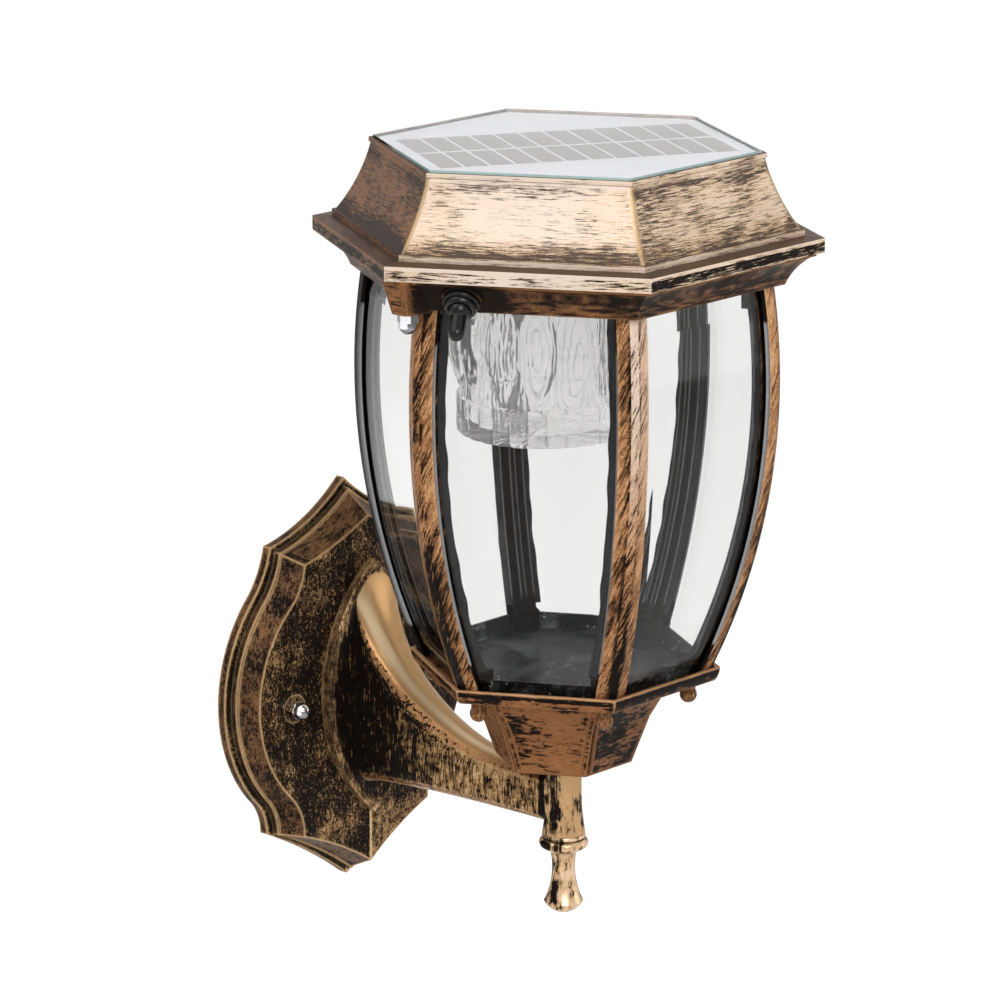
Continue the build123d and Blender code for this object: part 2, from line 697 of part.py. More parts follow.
def cap_nut(bore):
    """Domed nut standing on height zero, its blind bore open below."""
    dome_r = NUT_FLATS / 2 - PRESS_GAP
    dome_low = NUT_HEX + NUT_DOME - dome_r
    stem = Polyline((0, NUT_HEX + NUT_DOME), (0, 0), (dome_r, 0), (dome_r, dome_low))
    cap = turned_form([dome(dome_r, dome_low, dome_r), *stem.edges()])
    body = hex_prism(NUT_FLATS / 2, 0, NUT_HEX) + cap
    return body - rod(bore, 0, NUT_HEX + NUT_BORE)


def domed_screw():
    """Ball-headed screw under the tray, its shank pointing up."""
    ball = Pos(0, 0, -DOME_HEAD_DROP) * Sphere(DOME_HEAD_R)
    neck = rod(DOME_NECK_R, -DOME_HEAD_DROP, 0)
    return ball + neck + rod(RIB_SCREW_R, 0, TRAY_FLOOR + RIB_TAP_DEPTH - SEAT_GAP)


def finial():
    """Turned pendant screwed on the tie rod: ring, bead, neck and flared foot."""
    ring_low = boss_low - FINIAL_RING
    bead_low = ring_low - FINIAL_BEAD
    under_low = bead_low - FINIAL_UNDER
    neck = boss_low - FINIAL_NECK_DROP
    foot = boss_low - FINIAL_FOOT_DROP
    end = boss_low - FINIAL_HEIGHT
    ring_arc = bowed((FINIAL_RING_R, boss_low), (FINIAL_RING_R, ring_low), FINIAL_RING_BULGE)
    bead_arc = bowed((FINIAL_BEAD_R, ring_low), (FINIAL_BEAD_R, bead_low), FINIAL_BEAD_BULGE)
    neck_arc = ThreePointArc((FINIAL_UNDER_R, under_low), (FINIAL_NECK_R, neck), (FINIAL_FOOT_R, foot))
    foot_arc = dome(FINIAL_FOOT_R, foot, end - foot)
    axis_and_top = Polyline((0, end), (0, boss_low), (FINIAL_RING_R, boss_low))
    shoulder = Line((FINIAL_RING_R, ring_low), (FINIAL_BEAD_R, ring_low))
    under = Line((FINIAL_BEAD_R, bead_low), (FINIAL_UNDER_R, under_low))
    body = turned_form([*axis_and_top.edges(), ring_arc, shoulder, bead_arc, under, neck_arc, foot_arc])
    return body - rod(ROD_R + PRESS_GAP, boss_low - ROD_GRIP, boss_low)


def drawn_in(x, z, inset, ratios):
    """Point of the plate's outline, moved inwards by its ratios of an inset."""
    return x - inset * ratios[0], z - inset * ratios[1]


def plate_face(inset):
    """Outline of the wall plate, moved inwards by inset: pointed ends, scooped shoulders, bulging sides."""
    top = (0, PLATE_TOP - inset * TOP_RATIO)
    upper = drawn_in(SHOULDER_X, SHOULDER_Z, inset, SHOULDER_RATIOS)
    flank = drawn_in(FLANK_X, FLANK_Z, inset, FLANK_RATIOS)
    low_flank = drawn_in(LOW_FLANK_X, -LOW_FLANK_DROP, inset, LOW_FLANK_RATIOS)
    lower = drawn_in(LOW_SHOULDER_X, -LOW_SHOULDER_DROP, inset, LOW_SHOULDER_RATIOS)
    bottom = (0, -PLATE_BOTTOM + inset * BOTTOM_RATIO)
    half = [bowed(top, upper, inset * SCOOP_RATIO - APEX_SCOOP),
            bowed(upper, flank, -FLANK_SCOOP),
            ThreePointArc(flank, (SIDE_X - inset, SIDE_Z), low_flank),
            bowed(low_flank, lower, -FLANK_SCOOP),
            bowed(lower, bottom, -FOOT_SCOOP)]
    return make_face(half + [mirror(edge, Plane.YZ) for edge in half])


def plate_depth(x):
    """Depth of the plate's gabled front at a distance from its ridge."""
    return RIDGE_DEPTH - GABLE_FALL * abs(x) / SIDE_X


def gable():
    """Everything behind the plate's gabled front."""
    edge = RIDGE_DEPTH - GABLE_FALL * WIDE / SIDE_X
    front = [(-WIDE, -edge), (0, -RIDGE_DEPTH), (WIDE, -edge)]
    outline = Polyline((-WIDE, WIDE), *front, (WIDE, WIDE), close=True)
    return extrude(make_face(outline), WIDE, both=True)


def backplate():
    """Cast wall plate: flange, step, sloping band and gabled front, hollow behind."""
    flange = extrude(Plane.XZ * plate_face(0), FLANGE_THICK)
    step = extrude(Plane.XZ * plate_face(STEP_INSET), STEP_DEPTH)
    foot = Plane.XZ.offset(STEP_DEPTH) * plate_face(FRONT_FOOT_INSET)
    crown = Plane.XZ.offset(RIDGE_DEPTH) * plate_face(FRONT_INSET)
    front = loft([foot, crown], ruled=True) & gable()
    mouth = Plane.XZ * plate_face(CAVITY_LAND)
    roof = Plane.XZ.offset(CAVITY_DEPTH) * plate_face(CAVITY_LAND + CAVITY_TAPER)
    plate = flange + step + front - loft([mouth, roof], ruled=True)
    spot = Pos(0, -plate_depth(STUD_X) + NUT_SPOT_DEPTH, 0)
    stud_hole = through_wall(STUD_R + SCREW_GAP, 0, RIDGE_DEPTH)
    arm_hole = through_wall(ARM_SCREW_R + SCREW_GAP, 0, RIDGE_DEPTH)
    for side in (-1, 1):
        plate = plate - Pos(side * STUD_X, 0, 0) * stud_hole
        plate = plate - spot * Pos(side * STUD_X, 0, 0) * through_wall(NUT_SPOT_R, 0, RIDGE_DEPTH)
        plate = plate - Pos(0, 0, side * ARM_SCREW_HEIGHT) * arm_hole
    return plate


def through_wall(radius, near, far):
    """Cylinder along the wall's normal, between two depths in front of the wall."""
    return Rot(90, 0, 0) * rod(radius, near, far)


def wall_crossbar():
    """Steel strap screwed to the wall, its raised ends carrying the studs."""
    ramp = CROSSBAR_RAISE
    foot = CROSSBAR_FLAT / 2
    end = CROSSBAR_LENGTH / 2
    bend = CROSSBAR_THICK * tan(radians(22.5))
    half = [(foot, 0), (foot + ramp, -CROSSBAR_RAISE), (end, -CROSSBAR_RAISE),
            (end, -CROSSBAR_RAISE - CROSSBAR_THICK), (foot + ramp - bend, -CROSSBAR_RAISE - CROSSBAR_THICK),
            (foot - bend, -CROSSBAR_THICK)]
    outline = half + [(-x, y) for x, y in reversed(half)]
    strap = extrude(make_face(Polyline(*outline, close=True)), CROSSBAR_WIDTH / 2, both=True)
    slot = SlotOverall(WALL_SLOT_LENGTH, 2 * WALL_SLOT_R)
    for side in (-1, 1):
        strap = strap - extrude(Plane.XZ * Pos(side * WALL_SLOT_SPACING / 2, 0) * slot, CROSSBAR_THICK)
        hole = through_wall(STUD_R + PRESS_GAP, CROSSBAR_RAISE, CROSSBAR_RAISE + CROSSBAR_THICK)
        strap = strap - Pos(side * STUD_X, 0, 0) * hole
    return strap


def wall_studs():
    """Two screws through the crossbar's raised ends, pointing away from the wall."""
    seat = plate_depth(STUD_X) - NUT_SPOT_DEPTH
    head = through_wall(STUD_HEAD_R, CROSSBAR_RAISE - STUD_HEAD_THICK, CROSSBAR_RAISE)
    stud = head + through_wall(STUD_R, CROSSBAR_RAISE, seat + NUT_HEX + NUT_GRIP)
    return joined([Pos(side * STUD_X, 0, 0) * stud for side in (-1, 1)])


def plate_cap_nuts():
    """Bright domed nuts on the wall studs."""
    seat = plate_depth(STUD_X) - NUT_SPOT_DEPTH
    nut = Rot(90, 0, 0) * cap_nut(STUD_R + PRESS_GAP)
    return joined([Pos(side * STUD_X, -seat, 0) * nut for side in (-1, 1)])


def vesica_face(inset):
    """Pointed oval of the arm's flange, moved inwards by inset."""
    middle = (VESICA_TOP - VESICA_BOTTOM) / 2
    top = (0, VESICA_TOP - 2 * inset)
    bottom = (0, -VESICA_BOTTOM + 2 * inset)
    half = ThreePointArc(top, (VESICA_HALF_WIDTH - inset, middle), bottom)
    return make_face([half, mirror(half, Plane.YZ)])


def arm_outline(width, top, bottom):
    """Cross-section of the arm: half-round crown, flat sides, rounded toes."""
    half = width / 2
    toe = width * ARM_TOE_RATIO
    cut = toe * (1 - cos(radians(45)))
    crown = ThreePointArc((-half, top - half), (0, top), (half, top - half))
    right = Line((half, top - half), (half, bottom + toe))
    right_toe = ThreePointArc((half, bottom + toe), (half - cut, bottom + cut), (half - toe, bottom))
    sole = Line((half - toe, bottom), (toe - half, bottom))
    left_toe = mirror(right_toe, Plane.YZ)
    left = mirror(right, Plane.YZ)
    return make_face([crown, right, right_toe, sole, left_toe, left])


def arm_section(turn, depth):
    """Cross-section of the arm at a depth from the wall, for a turn of its sweep from 0 to 90 degrees."""
    end_top = BRIM_LEVEL + cup_low - ARM_END_DROP
    rise = sin(radians(turn))
    top = ARM_ROOT_TOP + (end_top - ARM_ROOT_TOP) * rise
    bottom = -ARM_ROOT_BOTTOM + (end_top - ARM_END_HEIGHT + ARM_ROOT_BOTTOM) * rise
    taper = (depth - RIDGE_DEPTH) / (AXIS_REACH - RIDGE_DEPTH)
    width = ARM_ROOT_WIDTH + (ARM_END_WIDTH - ARM_ROOT_WIDTH) * taper
    return Plane.XZ.offset(depth) * arm_outline(width, top, bottom)


def horn():
    """Curved body of the arm, from its flange to the lantern's axis."""
    face_depth = RIDGE_DEPTH + VESICA_RISE
    sweep = AXIS_REACH - ARM_RUN_OUT - face_depth
    sections = []
    for step in range(ARM_STEPS + 1):
        turn = 90 * step / ARM_STEPS
        sections.append(arm_section(turn, face_depth + sweep * (1 - cos(radians(turn)))))
    root = extrude(sections[0], -VESICA_RISE)
    body = root + loft([*sections, arm_section(90, AXIS_REACH)])
    return body & extrude(Plane.XZ * vesica_face(VESICA_EDGE), AXIS_REACH)


def arm():
    """Horn-shaped arm: pointed flange on the plate, tapering curved body, turned boss under the cup."""
    flange = extrude(Plane.XZ * vesica_face(0), RIDGE_DEPTH + VESICA_RISE)
    flange = chamfer(flange.faces().sort_by(Axis.Y)[0].edges(), VESICA_EDGE)
    waist = (BOSS_WAIST_R, (cup_low + boss_low) / 2)
    boss_side = ThreePointArc((BOSS_TOP_R, cup_low), waist, (BOSS_FOOT_R, boss_low))
    boss_rest = Polyline((BOSS_FOOT_R, boss_low), (0, boss_low), (0, cup_low), (BOSS_TOP_R, cup_low))
    boss = at_lantern(turned_form([boss_side, *boss_rest.edges()]))
    casting = flange - gable() + horn() + boss
    casting = casting - at_lantern(rod(ROD_R + SCREW_GAP, boss_low, cup_low))
    hole = through_wall(ARM_SCREW_R + PRESS_GAP, 0, RIDGE_DEPTH + ARM_SCREW_GRIP)
    for side in (-1, 1):
        casting = casting - Pos(0, 0, side * ARM_SCREW_HEIGHT) * hole
    return casting


def arm_screws():
    """Screws that hold the arm from inside the plate."""
    screw = pan_head_screw(ARM_SCREW_R, RIDGE_DEPTH - CAVITY_DEPTH + ARM_SCREW_GRIP - SEAT_GAP)
    seated = Pos(0, -CAVITY_DEPTH, 0) * Rot(-90, 0, 0) * screw
    return joined([Pos(0, 0, side * ARM_SCREW_HEIGHT) * seated for side in (-1, 1)])


def lamp_plate():
    """Plate that closes the ring's opening and carries lamp and battery."""
    plate = hex_prism(LAMP_PLATE_FLAT, lamp_low, lamp_high) & rod(LAMP_PLATE_CORNER, lamp_low, lamp_high)
    hole = Pos(0, -LAMP_SCREW_FLAT, 0) * rod(LAMP_SCREW_R + SCREW_GAP, lamp_low, lamp_high)
    tapped = Pos(crystal_screw_reach(), 0, 0) * rod(CRYSTAL_SCREW_R + PRESS_GAP, lamp_low, lamp_high)
    return plate - around(hole, FACES) - [at_lamp(copy) for copy in around(tapped, crystal_turns())]


def at_lamp(shape):
    """Lamp frame, about its own axis, to lantern frame."""
    return Pos(0, LAMP_BACK, 0) * shape


def crystal_screw_reach():
    """Radius of the screws in the diffuser's ring, about the lamp axis."""
    return (CRYSTAL_FLANGE_R + SEAT_GAP + CRYSTAL_RING_R) / 2


def crystal_turns():
    """Turns of those screws."""
    return [90 + 360 / CRYSTAL_SCREWS * k for k in range(CRYSTAL_SCREWS)]


def light_board():
    """Round board of the lamp under its plate."""
    return at_lamp(rod(LIGHT_BOARD_R, lamp_low - LIGHT_BOARD_THICK, lamp_low))


def light_chips():
    """Ring of light chips under the board."""
    level = lamp_low - LIGHT_BOARD_THICK - LIGHT_CHIP_THICK / 2
    chip = Pos(LIGHT_CHIP_R, 0, level) * Box(LIGHT_CHIP, LIGHT_CHIP, LIGHT_CHIP_THICK)
    turns = [360 / LIGHT_CHIPS * k for k in range(LIGHT_CHIPS)]
    return joined([at_lamp(copy) for copy in around(chip, turns)])


def crystal():
    """Cut-glass diffuser: flange, neck with a wreath of long petals, faceted lower band, closed foot."""
    flange_low = lamp_low - CRYSTAL_FLANGE
    foot = lamp_low - CRYSTAL_HEIGHT
    band_top = foot + CRYSTAL_BAND
    body = rod(CRYSTAL_FLANGE_R, flange_low, lamp_low) + rod(CRYSTAL_NECK_R, band_top, flange_low)
    facets = 2 * PETALS
    corners = [(CRYSTAL_BAND_R * cos(2 * pi * k / facets), CRYSTAL_BAND_R * sin(2 * pi * k / facets))
               for k in range(facets)]
    body = body + extrude(Pos(0, 0, foot) * make_face(Polyline(*corners, close=True)), CRYSTAL_BAND)
    petal_top = flange_low - CRYSTAL_RING_LIP - 2 * SEAT_GAP
    middle = petal_top - PETAL_LENGTH / 2
    leaf = ThreePointArc((0, PETAL_LENGTH / 2), (PETAL_R, 0), (0, -PETAL_LENGTH / 2))
    petal = turned_form([leaf, Line((0, -PETAL_LENGTH / 2), (0, PETAL_LENGTH / 2))])
    petal = Pos(PETAL_REACH, 0, middle) * petal
    body = body + around(petal, [360 / PETALS * k for k in range(PETALS)])
    return at_lamp(body - rod(CRYSTAL_BORE_R, foot + CRYSTAL_FLOOR, lamp_low))


def crystal_ring():
    """Black ring that holds the diffuser's flange up to the lamp plate."""
    flange_low = lamp_low - CRYSTAL_FLANGE - SEAT_GAP
    ring_low = flange_low - CRYSTAL_RING_LIP
    ring = rod(CRYSTAL_RING_R, ring_low, lamp_low)
    ring = ring - rod(CRYSTAL_FLANGE_R + SEAT_GAP, flange_low, lamp_low)
    ring = ring - rod(CRYSTAL_NECK_R + SEAT_GAP, ring_low, flange_low)
    hole = Pos(crystal_screw_reach(), 0, 0) * rod(CRYSTAL_SCREW_R + SCREW_GAP, ring_low, lamp_low)
    return at_lamp(ring - around(hole, crystal_turns()))


def crystal_screws():
    """Screws that hold the diffuser's ring to the lamp plate."""
    ring_low = lamp_low - CRYSTAL_FLANGE - SEAT_GAP - CRYSTAL_RING_LIP
    screw = Rot(180, 0, 0) * pan_head_screw(CRYSTAL_SCREW_R, lamp_high - ring_low - SEAT_GAP)
    screw = Pos(crystal_screw_reach(), 0, ring_low) * screw
    return joined([at_lamp(copy) for copy in around(screw, crystal_turns())])


def battery_cell():
    """Round rechargeable cell, lying crosswise in its holder."""
    level = lamp_high + HOLDER_WALL + SEAT_GAP + BATTERY_R
    cell = Pos(0, -BATTERY_FRONT, level) * Rot(0, 90, 0) * Cylinder(BATTERY_R, BATTERY_LENGTH)
    button = Pos(BATTERY_LENGTH / 2, -BATTERY_FRONT, level) * Rot(0, 90, 0)
    return cell + button * rod(BUTTON_R, 0, BUTTON_HEIGHT)


def battery_holder():
    """Open tray that the cell snaps into, standing on the lamp plate."""
    room = BATTERY_LENGTH + BUTTON_HEIGHT + 2 * SEAT_GAP
    bore = BATTERY_R + SEAT_GAP
    level = lamp_high + HOLDER_WALL + bore
    mouth_height = lamp_high + HOLDER_HEIGHT - level
    middle = Pos(BUTTON_HEIGHT / 2, -BATTERY_FRONT, 0)
    block = Box(room + 2 * HOLDER_WALL, 2 * (bore + HOLDER_WALL), HOLDER_HEIGHT)
    block = middle * Pos(0, 0, lamp_high + HOLDER_HEIGHT / 2) * block
    bay = middle * Pos(0, 0, level) * Rot(0, 90, 0) * Cylinder(bore, room)
    mouth = middle * Pos(0, 0, level + mouth_height / 2) * Box(room, 2 * bore, mouth_height)
    return block - bay - mouth


def control_board():
    """Charging and dusk-sensing board on its standoffs."""
    low = lamp_high + STANDOFF_HEIGHT
    high = low + CONTROL_THICK
    board = Pos(0, CONTROL_BACK, low + CONTROL_THICK / 2) * Box(CONTROL_WIDTH, CONTROL_LENGTH, CONTROL_THICK)
    coil = Pos(-COIL_SIDE, CONTROL_BACK, high) * rod(COIL_R, 0, COIL_HEIGHT)
    chip = Pos(CHIP_SIDE, CONTROL_BACK, high + CHIP_HEIGHT / 2) * Box(CHIP_WIDTH, CHIP_LENGTH, CHIP_HEIGHT)
    return board + coil + chip


def board_standoffs():
    """Four posts between lamp plate and control board."""
    post = rod(STANDOFF_R, lamp_high, lamp_high + STANDOFF_HEIGHT)
    x = CONTROL_WIDTH / 2 - STANDOFF_INSET
    y = CONTROL_LENGTH / 2 - STANDOFF_INSET
    return joined([Pos(sx * x, CONTROL_BACK + sy * y, 0) * post for sx in (-1, 1) for sy in (-1, 1)])


def switch_body():
    """Switch block behind the ring's wall, with its threaded bush through the wall."""
    block = Pos(0, 0, nut_back - SWITCH_BODY_DEPTH / 2)
    block = block * Box(SWITCH_BODY_WIDTH, SWITCH_BODY_HEIGHT, SWITCH_BODY_DEPTH)
    bush = rod(SWITCH_BUSH_R, nut_back, bush_top) - rod(LEVER_R + 2 * SEAT_GAP, nut_back, bush_top)
    return block + bush


def switch_nut():
    """Thin nut that clamps the switch to the ring's wall from inside."""
    return hex_nut(SWITCH_NUT_FLATS, nut_back, wall_back, SWITCH_BUSH_R + PRESS_GAP)


def boot_collar():
    """Fixed rubber collar of the weather boot, screwed on the bush against the pad."""
    lip = bowed((BOOT_R, BOOT_LIP), (BOOT_TIER_R, BOOT_SKIRT), -BOOT_ROUND / 2)
    shoulder = bowed((BOOT_TIER_R, BOOT_SKIRT), (BOOT_MOUTH_R, BOOT_HEIGHT), -BOOT_ROUND)
    rest = Polyline((BOOT_MOUTH_R, BOOT_HEIGHT), (0, BOOT_HEIGHT), (0, 0), (BOOT_R, 0), (BOOT_R, BOOT_LIP))
    collar = turned_form([lip, shoulder, *rest.edges()])
    socket = BOOT_BALL_R + SEAT_GAP
    collar = collar - rod(SWITCH_BUSH_R + PRESS_GAP, 0, bush_top)
    collar = collar - rod(socket, bush_top, pivot)
    return collar - Pos(0, 0, pivot) * Sphere(socket)


def boot_sleeve():
    """Moving rubber sleeve over the lever: half ball in the collar, round-ended finger outside."""
    ball = Sphere(BOOT_BALL_R) & rod(2 * BOOT_BALL_R, -ball_cut, 2 * BOOT_BALL_R)
    tip = BOOT_REACH - BOOT_SLEEVE_R
    finger = rod(BOOT_SLEEVE_R, 0, tip) + Pos(0, 0, tip) * Sphere(BOOT_SLEEVE_R)
    sleeve = ball + finger - rod(LEVER_R + PRESS_GAP, -BOOT_BALL_R, BOOT_REACH - LEVER_TIP_WALL)
    return Pos(0, 0, pivot) * Rot(LEVER_TILT, 0, 0) * sleeve


def switch_lever():
    """Metal lever of the switch, inside its sleeve."""
    lever = rod(LEVER_R, -ball_cut, BOOT_REACH - LEVER_TIP_WALL)
    return Pos(0, 0, pivot) * Rot(LEVER_TILT, 0, 0) * lever


def lantern_fasteners():
    """Screws, studs and nuts of the lantern, one group for each kind."""
    lug_low = ring_bottom - LUG_DROP
    rib_top = pan_head_screw(RIB_SCREW_R, RING_FLANGE + RIB_TAP_DEPTH - SEAT_GAP)
    rib_top = outward(rib_screw_reach(), flange_top, 0) * rib_top
    rib_foot = outward(rib_foot_reach, floor_low, 0) * domed_screw()
    lamp = pan_head_screw(LAMP_SCREW_R, LAMP_PLATE_THICK + RING_FLANGE - SEAT_GAP)
    lamp = Pos(0, -LAMP_SCREW_FLAT, lamp_high) * lamp
    stud = rod(HOOD_STUD_R, lug_low - NUT_HEX - NUT_GRIP, HOOD_STUD_GRIP - HOOD_WALL)
    stud = Pos(LUG_REACH, 0, 0) * stud
    nut = Pos(LUG_REACH, 0, lug_low) * Rot(180, 0, 0) * cap_nut(HOOD_STUD_R + PRESS_GAP)
    return {
        "rib_top_screws": joined(around(rib_top, CORNERS)),
        "rib_foot_screws": joined(around(rib_foot, CORNERS)),
        "lamp_plate_screws": joined(around(lamp, FACES)),
        "hood_studs": joined(around(stud, (0, 180))),
        "hood_cap_nuts": joined(around(nut, (0, 180))),
    }


def lantern_nodes():
    """Every lantern piece by name, in the lantern frame."""
    rod_high = cup_low + CUP_BOTTOM + ROD_WASHER_THICK + ROD_NUT_HEIGHT + ROD_TOP_SPARE
    washer_low = cup_low + CUP_BOTTOM
    nut_low = washer_low + ROD_WASHER_THICK
    nodes = {
        "hood": hood(),
        "panel_seal": panel_seal(),
        "solar_glass": solar_glass(),
        "solar_cells": solar_cells(),
        "solar_backsheet": solar_backsheet(),
        "cage_ring": cage_ring(),
        "base_casting": base_casting(),
        "floor_pan": floor_pan(),
        "tie_rod": rod(ROD_R, boss_low - ROD_GRIP, rod_high),
        "rod_washer": rod(ROD_WASHER_R, washer_low, nut_low) - rod(ROD_R + SCREW_GAP, washer_low, nut_low),
        "rod_nut": hex_nut(ROD_NUT_FLATS, nut_low, nut_low + ROD_NUT_HEIGHT, ROD_R + PRESS_GAP),
        "finial": finial(),
        "lamp_plate": lamp_plate(),
        "light_board": light_board(),
        "light_chips": light_chips(),
        "crystal": crystal(),
        "crystal_ring": crystal_ring(),
        "crystal_screws": crystal_screws(),
        "battery_cell": battery_cell(),
        "battery_holder": battery_holder(),
        "control_board": control_board(),
        "board_standoffs": board_standoffs(),
        "switch_body": at_switch(switch_body()),
        "switch_nut": at_switch(switch_nut()),
        "boot_collar": at_switch(boot_collar()),
        "boot_sleeve": at_switch(boot_sleeve()),
        "switch_lever": at_switch(switch_lever()),
    }
    nodes.update(lantern_fasteners())
    front_rib = rib()
    front_pane = pane()
    for number, azimuth in enumerate(CORNERS, start=1):
        nodes[f"rib_{number}"] = Rot(0, 0, azimuth) * front_rib
    for number, azimuth in enumerate(FACES, start=1):
        nodes[f"pane_{number}"] = Rot(0, 0, azimuth) * front_pane
    return nodes


def wall_nodes():
    """Every piece of the wall side by name, in the wall frame."""
    return {
        "wall_crossbar": wall_crossbar(),
        "wall_studs": wall_studs(),
        "backplate": backplate(),
        "plate_cap_nuts": plate_cap_nuts(),
        "arm": arm(),
        "arm_screws": arm_screws(),
    }


os.makedirs("parts", exist_ok=True)
for name, shape in wall_nodes().items():
    export_step(shape, f"parts/{name}.step")
for name, shape in lantern_nodes().items():
    export_step(at_lantern(shape), f"parts/{name}.step")
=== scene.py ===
import bpy
from math import asin, cos, pi, radians, sin, sqrt
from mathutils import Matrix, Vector


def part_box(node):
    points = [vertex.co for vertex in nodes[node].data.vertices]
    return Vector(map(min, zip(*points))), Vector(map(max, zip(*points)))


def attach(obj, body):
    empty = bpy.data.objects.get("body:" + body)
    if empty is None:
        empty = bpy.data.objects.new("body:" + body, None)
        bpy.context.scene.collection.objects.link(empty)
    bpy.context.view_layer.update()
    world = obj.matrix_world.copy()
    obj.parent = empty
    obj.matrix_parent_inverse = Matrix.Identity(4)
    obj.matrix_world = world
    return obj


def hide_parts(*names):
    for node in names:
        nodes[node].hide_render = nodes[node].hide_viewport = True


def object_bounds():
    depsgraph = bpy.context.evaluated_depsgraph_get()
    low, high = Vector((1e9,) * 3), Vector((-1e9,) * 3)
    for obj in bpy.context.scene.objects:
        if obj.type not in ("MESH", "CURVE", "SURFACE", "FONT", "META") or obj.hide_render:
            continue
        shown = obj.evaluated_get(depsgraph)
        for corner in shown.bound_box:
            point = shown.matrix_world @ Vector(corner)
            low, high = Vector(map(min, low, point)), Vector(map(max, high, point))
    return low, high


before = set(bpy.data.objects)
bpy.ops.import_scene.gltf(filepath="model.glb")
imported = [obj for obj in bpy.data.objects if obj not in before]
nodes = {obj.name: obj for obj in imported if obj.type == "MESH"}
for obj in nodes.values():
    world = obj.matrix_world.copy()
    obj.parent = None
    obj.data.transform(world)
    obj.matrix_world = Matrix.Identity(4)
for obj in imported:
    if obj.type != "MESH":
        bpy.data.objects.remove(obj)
cad_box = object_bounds()

# Lantern axis and ends of its pieces, in metres, read from the frame
hood_low, hood_high = (Vector(corner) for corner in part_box("hood"))
AXIS = Vector(((hood_low.x + hood_high.x) / 2, (hood_low.y + hood_high.y) / 2, 0))
crystal_low, crystal_high = (Vector(corner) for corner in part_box("crystal"))
CRYSTAL_AXIS = (crystal_low + crystal_high) / 2
rib_low, rib_high = (Vector(corner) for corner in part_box("rib_1"))

# Levels of the brim's top, the bead over it, the shade over the bead, the rim and the tray
BRIM_LEVEL = hood_high.z - 0.0326
BEAD_LOW = BRIM_LEVEL + 0.0005
BEAD_HIGH = BRIM_LEVEL + 0.0036
SHADE_HIGH = BRIM_LEVEL + 0.0130
RIM_LOW = hood_high.z - 0.0095
RIM_HIGH = hood_high.z - 0.0015
TRAY_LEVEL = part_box("base_casting")[1][2] - 0.0031

# Photo camera: place, aim and focal length found from the lantern's edges
CAMERA_PLACE = Vector((-1.3719, -1.3532, 0.5826))
CAMERA_AIM = Vector((-0.0170, -0.1055, 0.0980))
CAMERA_LENS = 177.05
SENSOR_WIDTH = 36.0
CLIP_END = 50.0

# Floor under the part, and the level that the lamps are turned to
FLOOR_DROP = 0.22
FLOOR_HALF = 6.0
LIT_LEVEL = 0.10

# Bow of the ribs, and the corner where a rib's inner bar meets the inside of a pane
CORNERS = (-150, -90, -30, 30, 90, 150)
BOW_PEAK = 0.0834
BOW_RADIUS = 0.26817
BOW_DROP = 0.0404
BAR_HALF = 0.0048
PANE_INSIDE = -0.00727
PANE_SLOPE = 0.577
PAN_RIM = 0.007

# Sealing beads: how far they spread, stand in and sink into their corner
BEAD_WIDE = 0.0025
BEAD_DEEP = 0.0022
BEAD_SINK = 0.0002

# Cut-glass diffuser: petals round a neck, a fluted band below them, a closed foot
PETALS = 14
PETAL_HALF = 0.0072
PETAL_LENGTH = 0.046
PETAL_RING = 0.030
NECK = 0.0315
FLANGE = 0.038
FLANGE_THICK = 0.003
PETAL_DROP = 0.0056
FLUTES = 28
FLUTE_RING = 0.0324
FLUTE_BULGE = 0.0013
BAND = 0.015
BORE = 0.0255
FOOT_THICK = 0.004
FOOT_ROUND = 0.0022

# Corners of new pieces sharper than this stay crisp
SHARP_CORNER = radians(50)

# Spacing of the solar cells' columns, their pale borders, and the directions along and across the row
CELL_PITCH = 0.0099
COLUMN_BORDER = 0.00060
MIDDLE_BORDER = 0.0011
CELL_RUN = Vector((cos(radians(-30)), sin(radians(-30)), 0))
CELL_RISE = Vector((sin(radians(30)), cos(radians(30)), 0))

# Levels between which the ribs turn dark, levels over which the front rib's painted highlight comes in, and
# the height of their end blocks
FEET_DARK = (0.13, 0.04)
HIGHLIGHT_LEVELS = (0.08, 0.17)
END_BLOCK = 0.013

# Lugs of the cage ring: where they start from the axis, and half their width
LUG_START = 0.0860
LUG_HALF = 0.0085

# Arm and plate: where the horn leaves its flange, its golden tail, the shank and the ridge under the flange
HORN_START = -0.02205
TAIL = (-0.040, -0.085)
SHANK_RADIUS = 0.0100
RIDGE_LEVEL = -0.0500
RIDGE_HALF = 0.0010

# Black round the switch, from where it starts to where it is full
switch_low, switch_high = (Vector(corner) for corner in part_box("boot_collar"))
SWITCH_PLACE = tuple((switch_low + switch_high) / 2)
SWITCH_SHADE = (0.0230, 0.0110)


def heading(azimuth):
    """Level direction at an azimuth in degrees, 0 in front of the wall."""
    return Vector((sin(radians(azimuth)), -cos(radians(azimuth)), 0))


# Sides of the lantern: the panel's ground edge, the switch, the side of turned work given painted shade, the
# front rib given a painted highlight
OPEN_SIDE = heading(-50)
SWITCH_SIDE = heading(-60)
SHADE_SIDE = heading(-115)
FRONT_RIB = heading(-30)


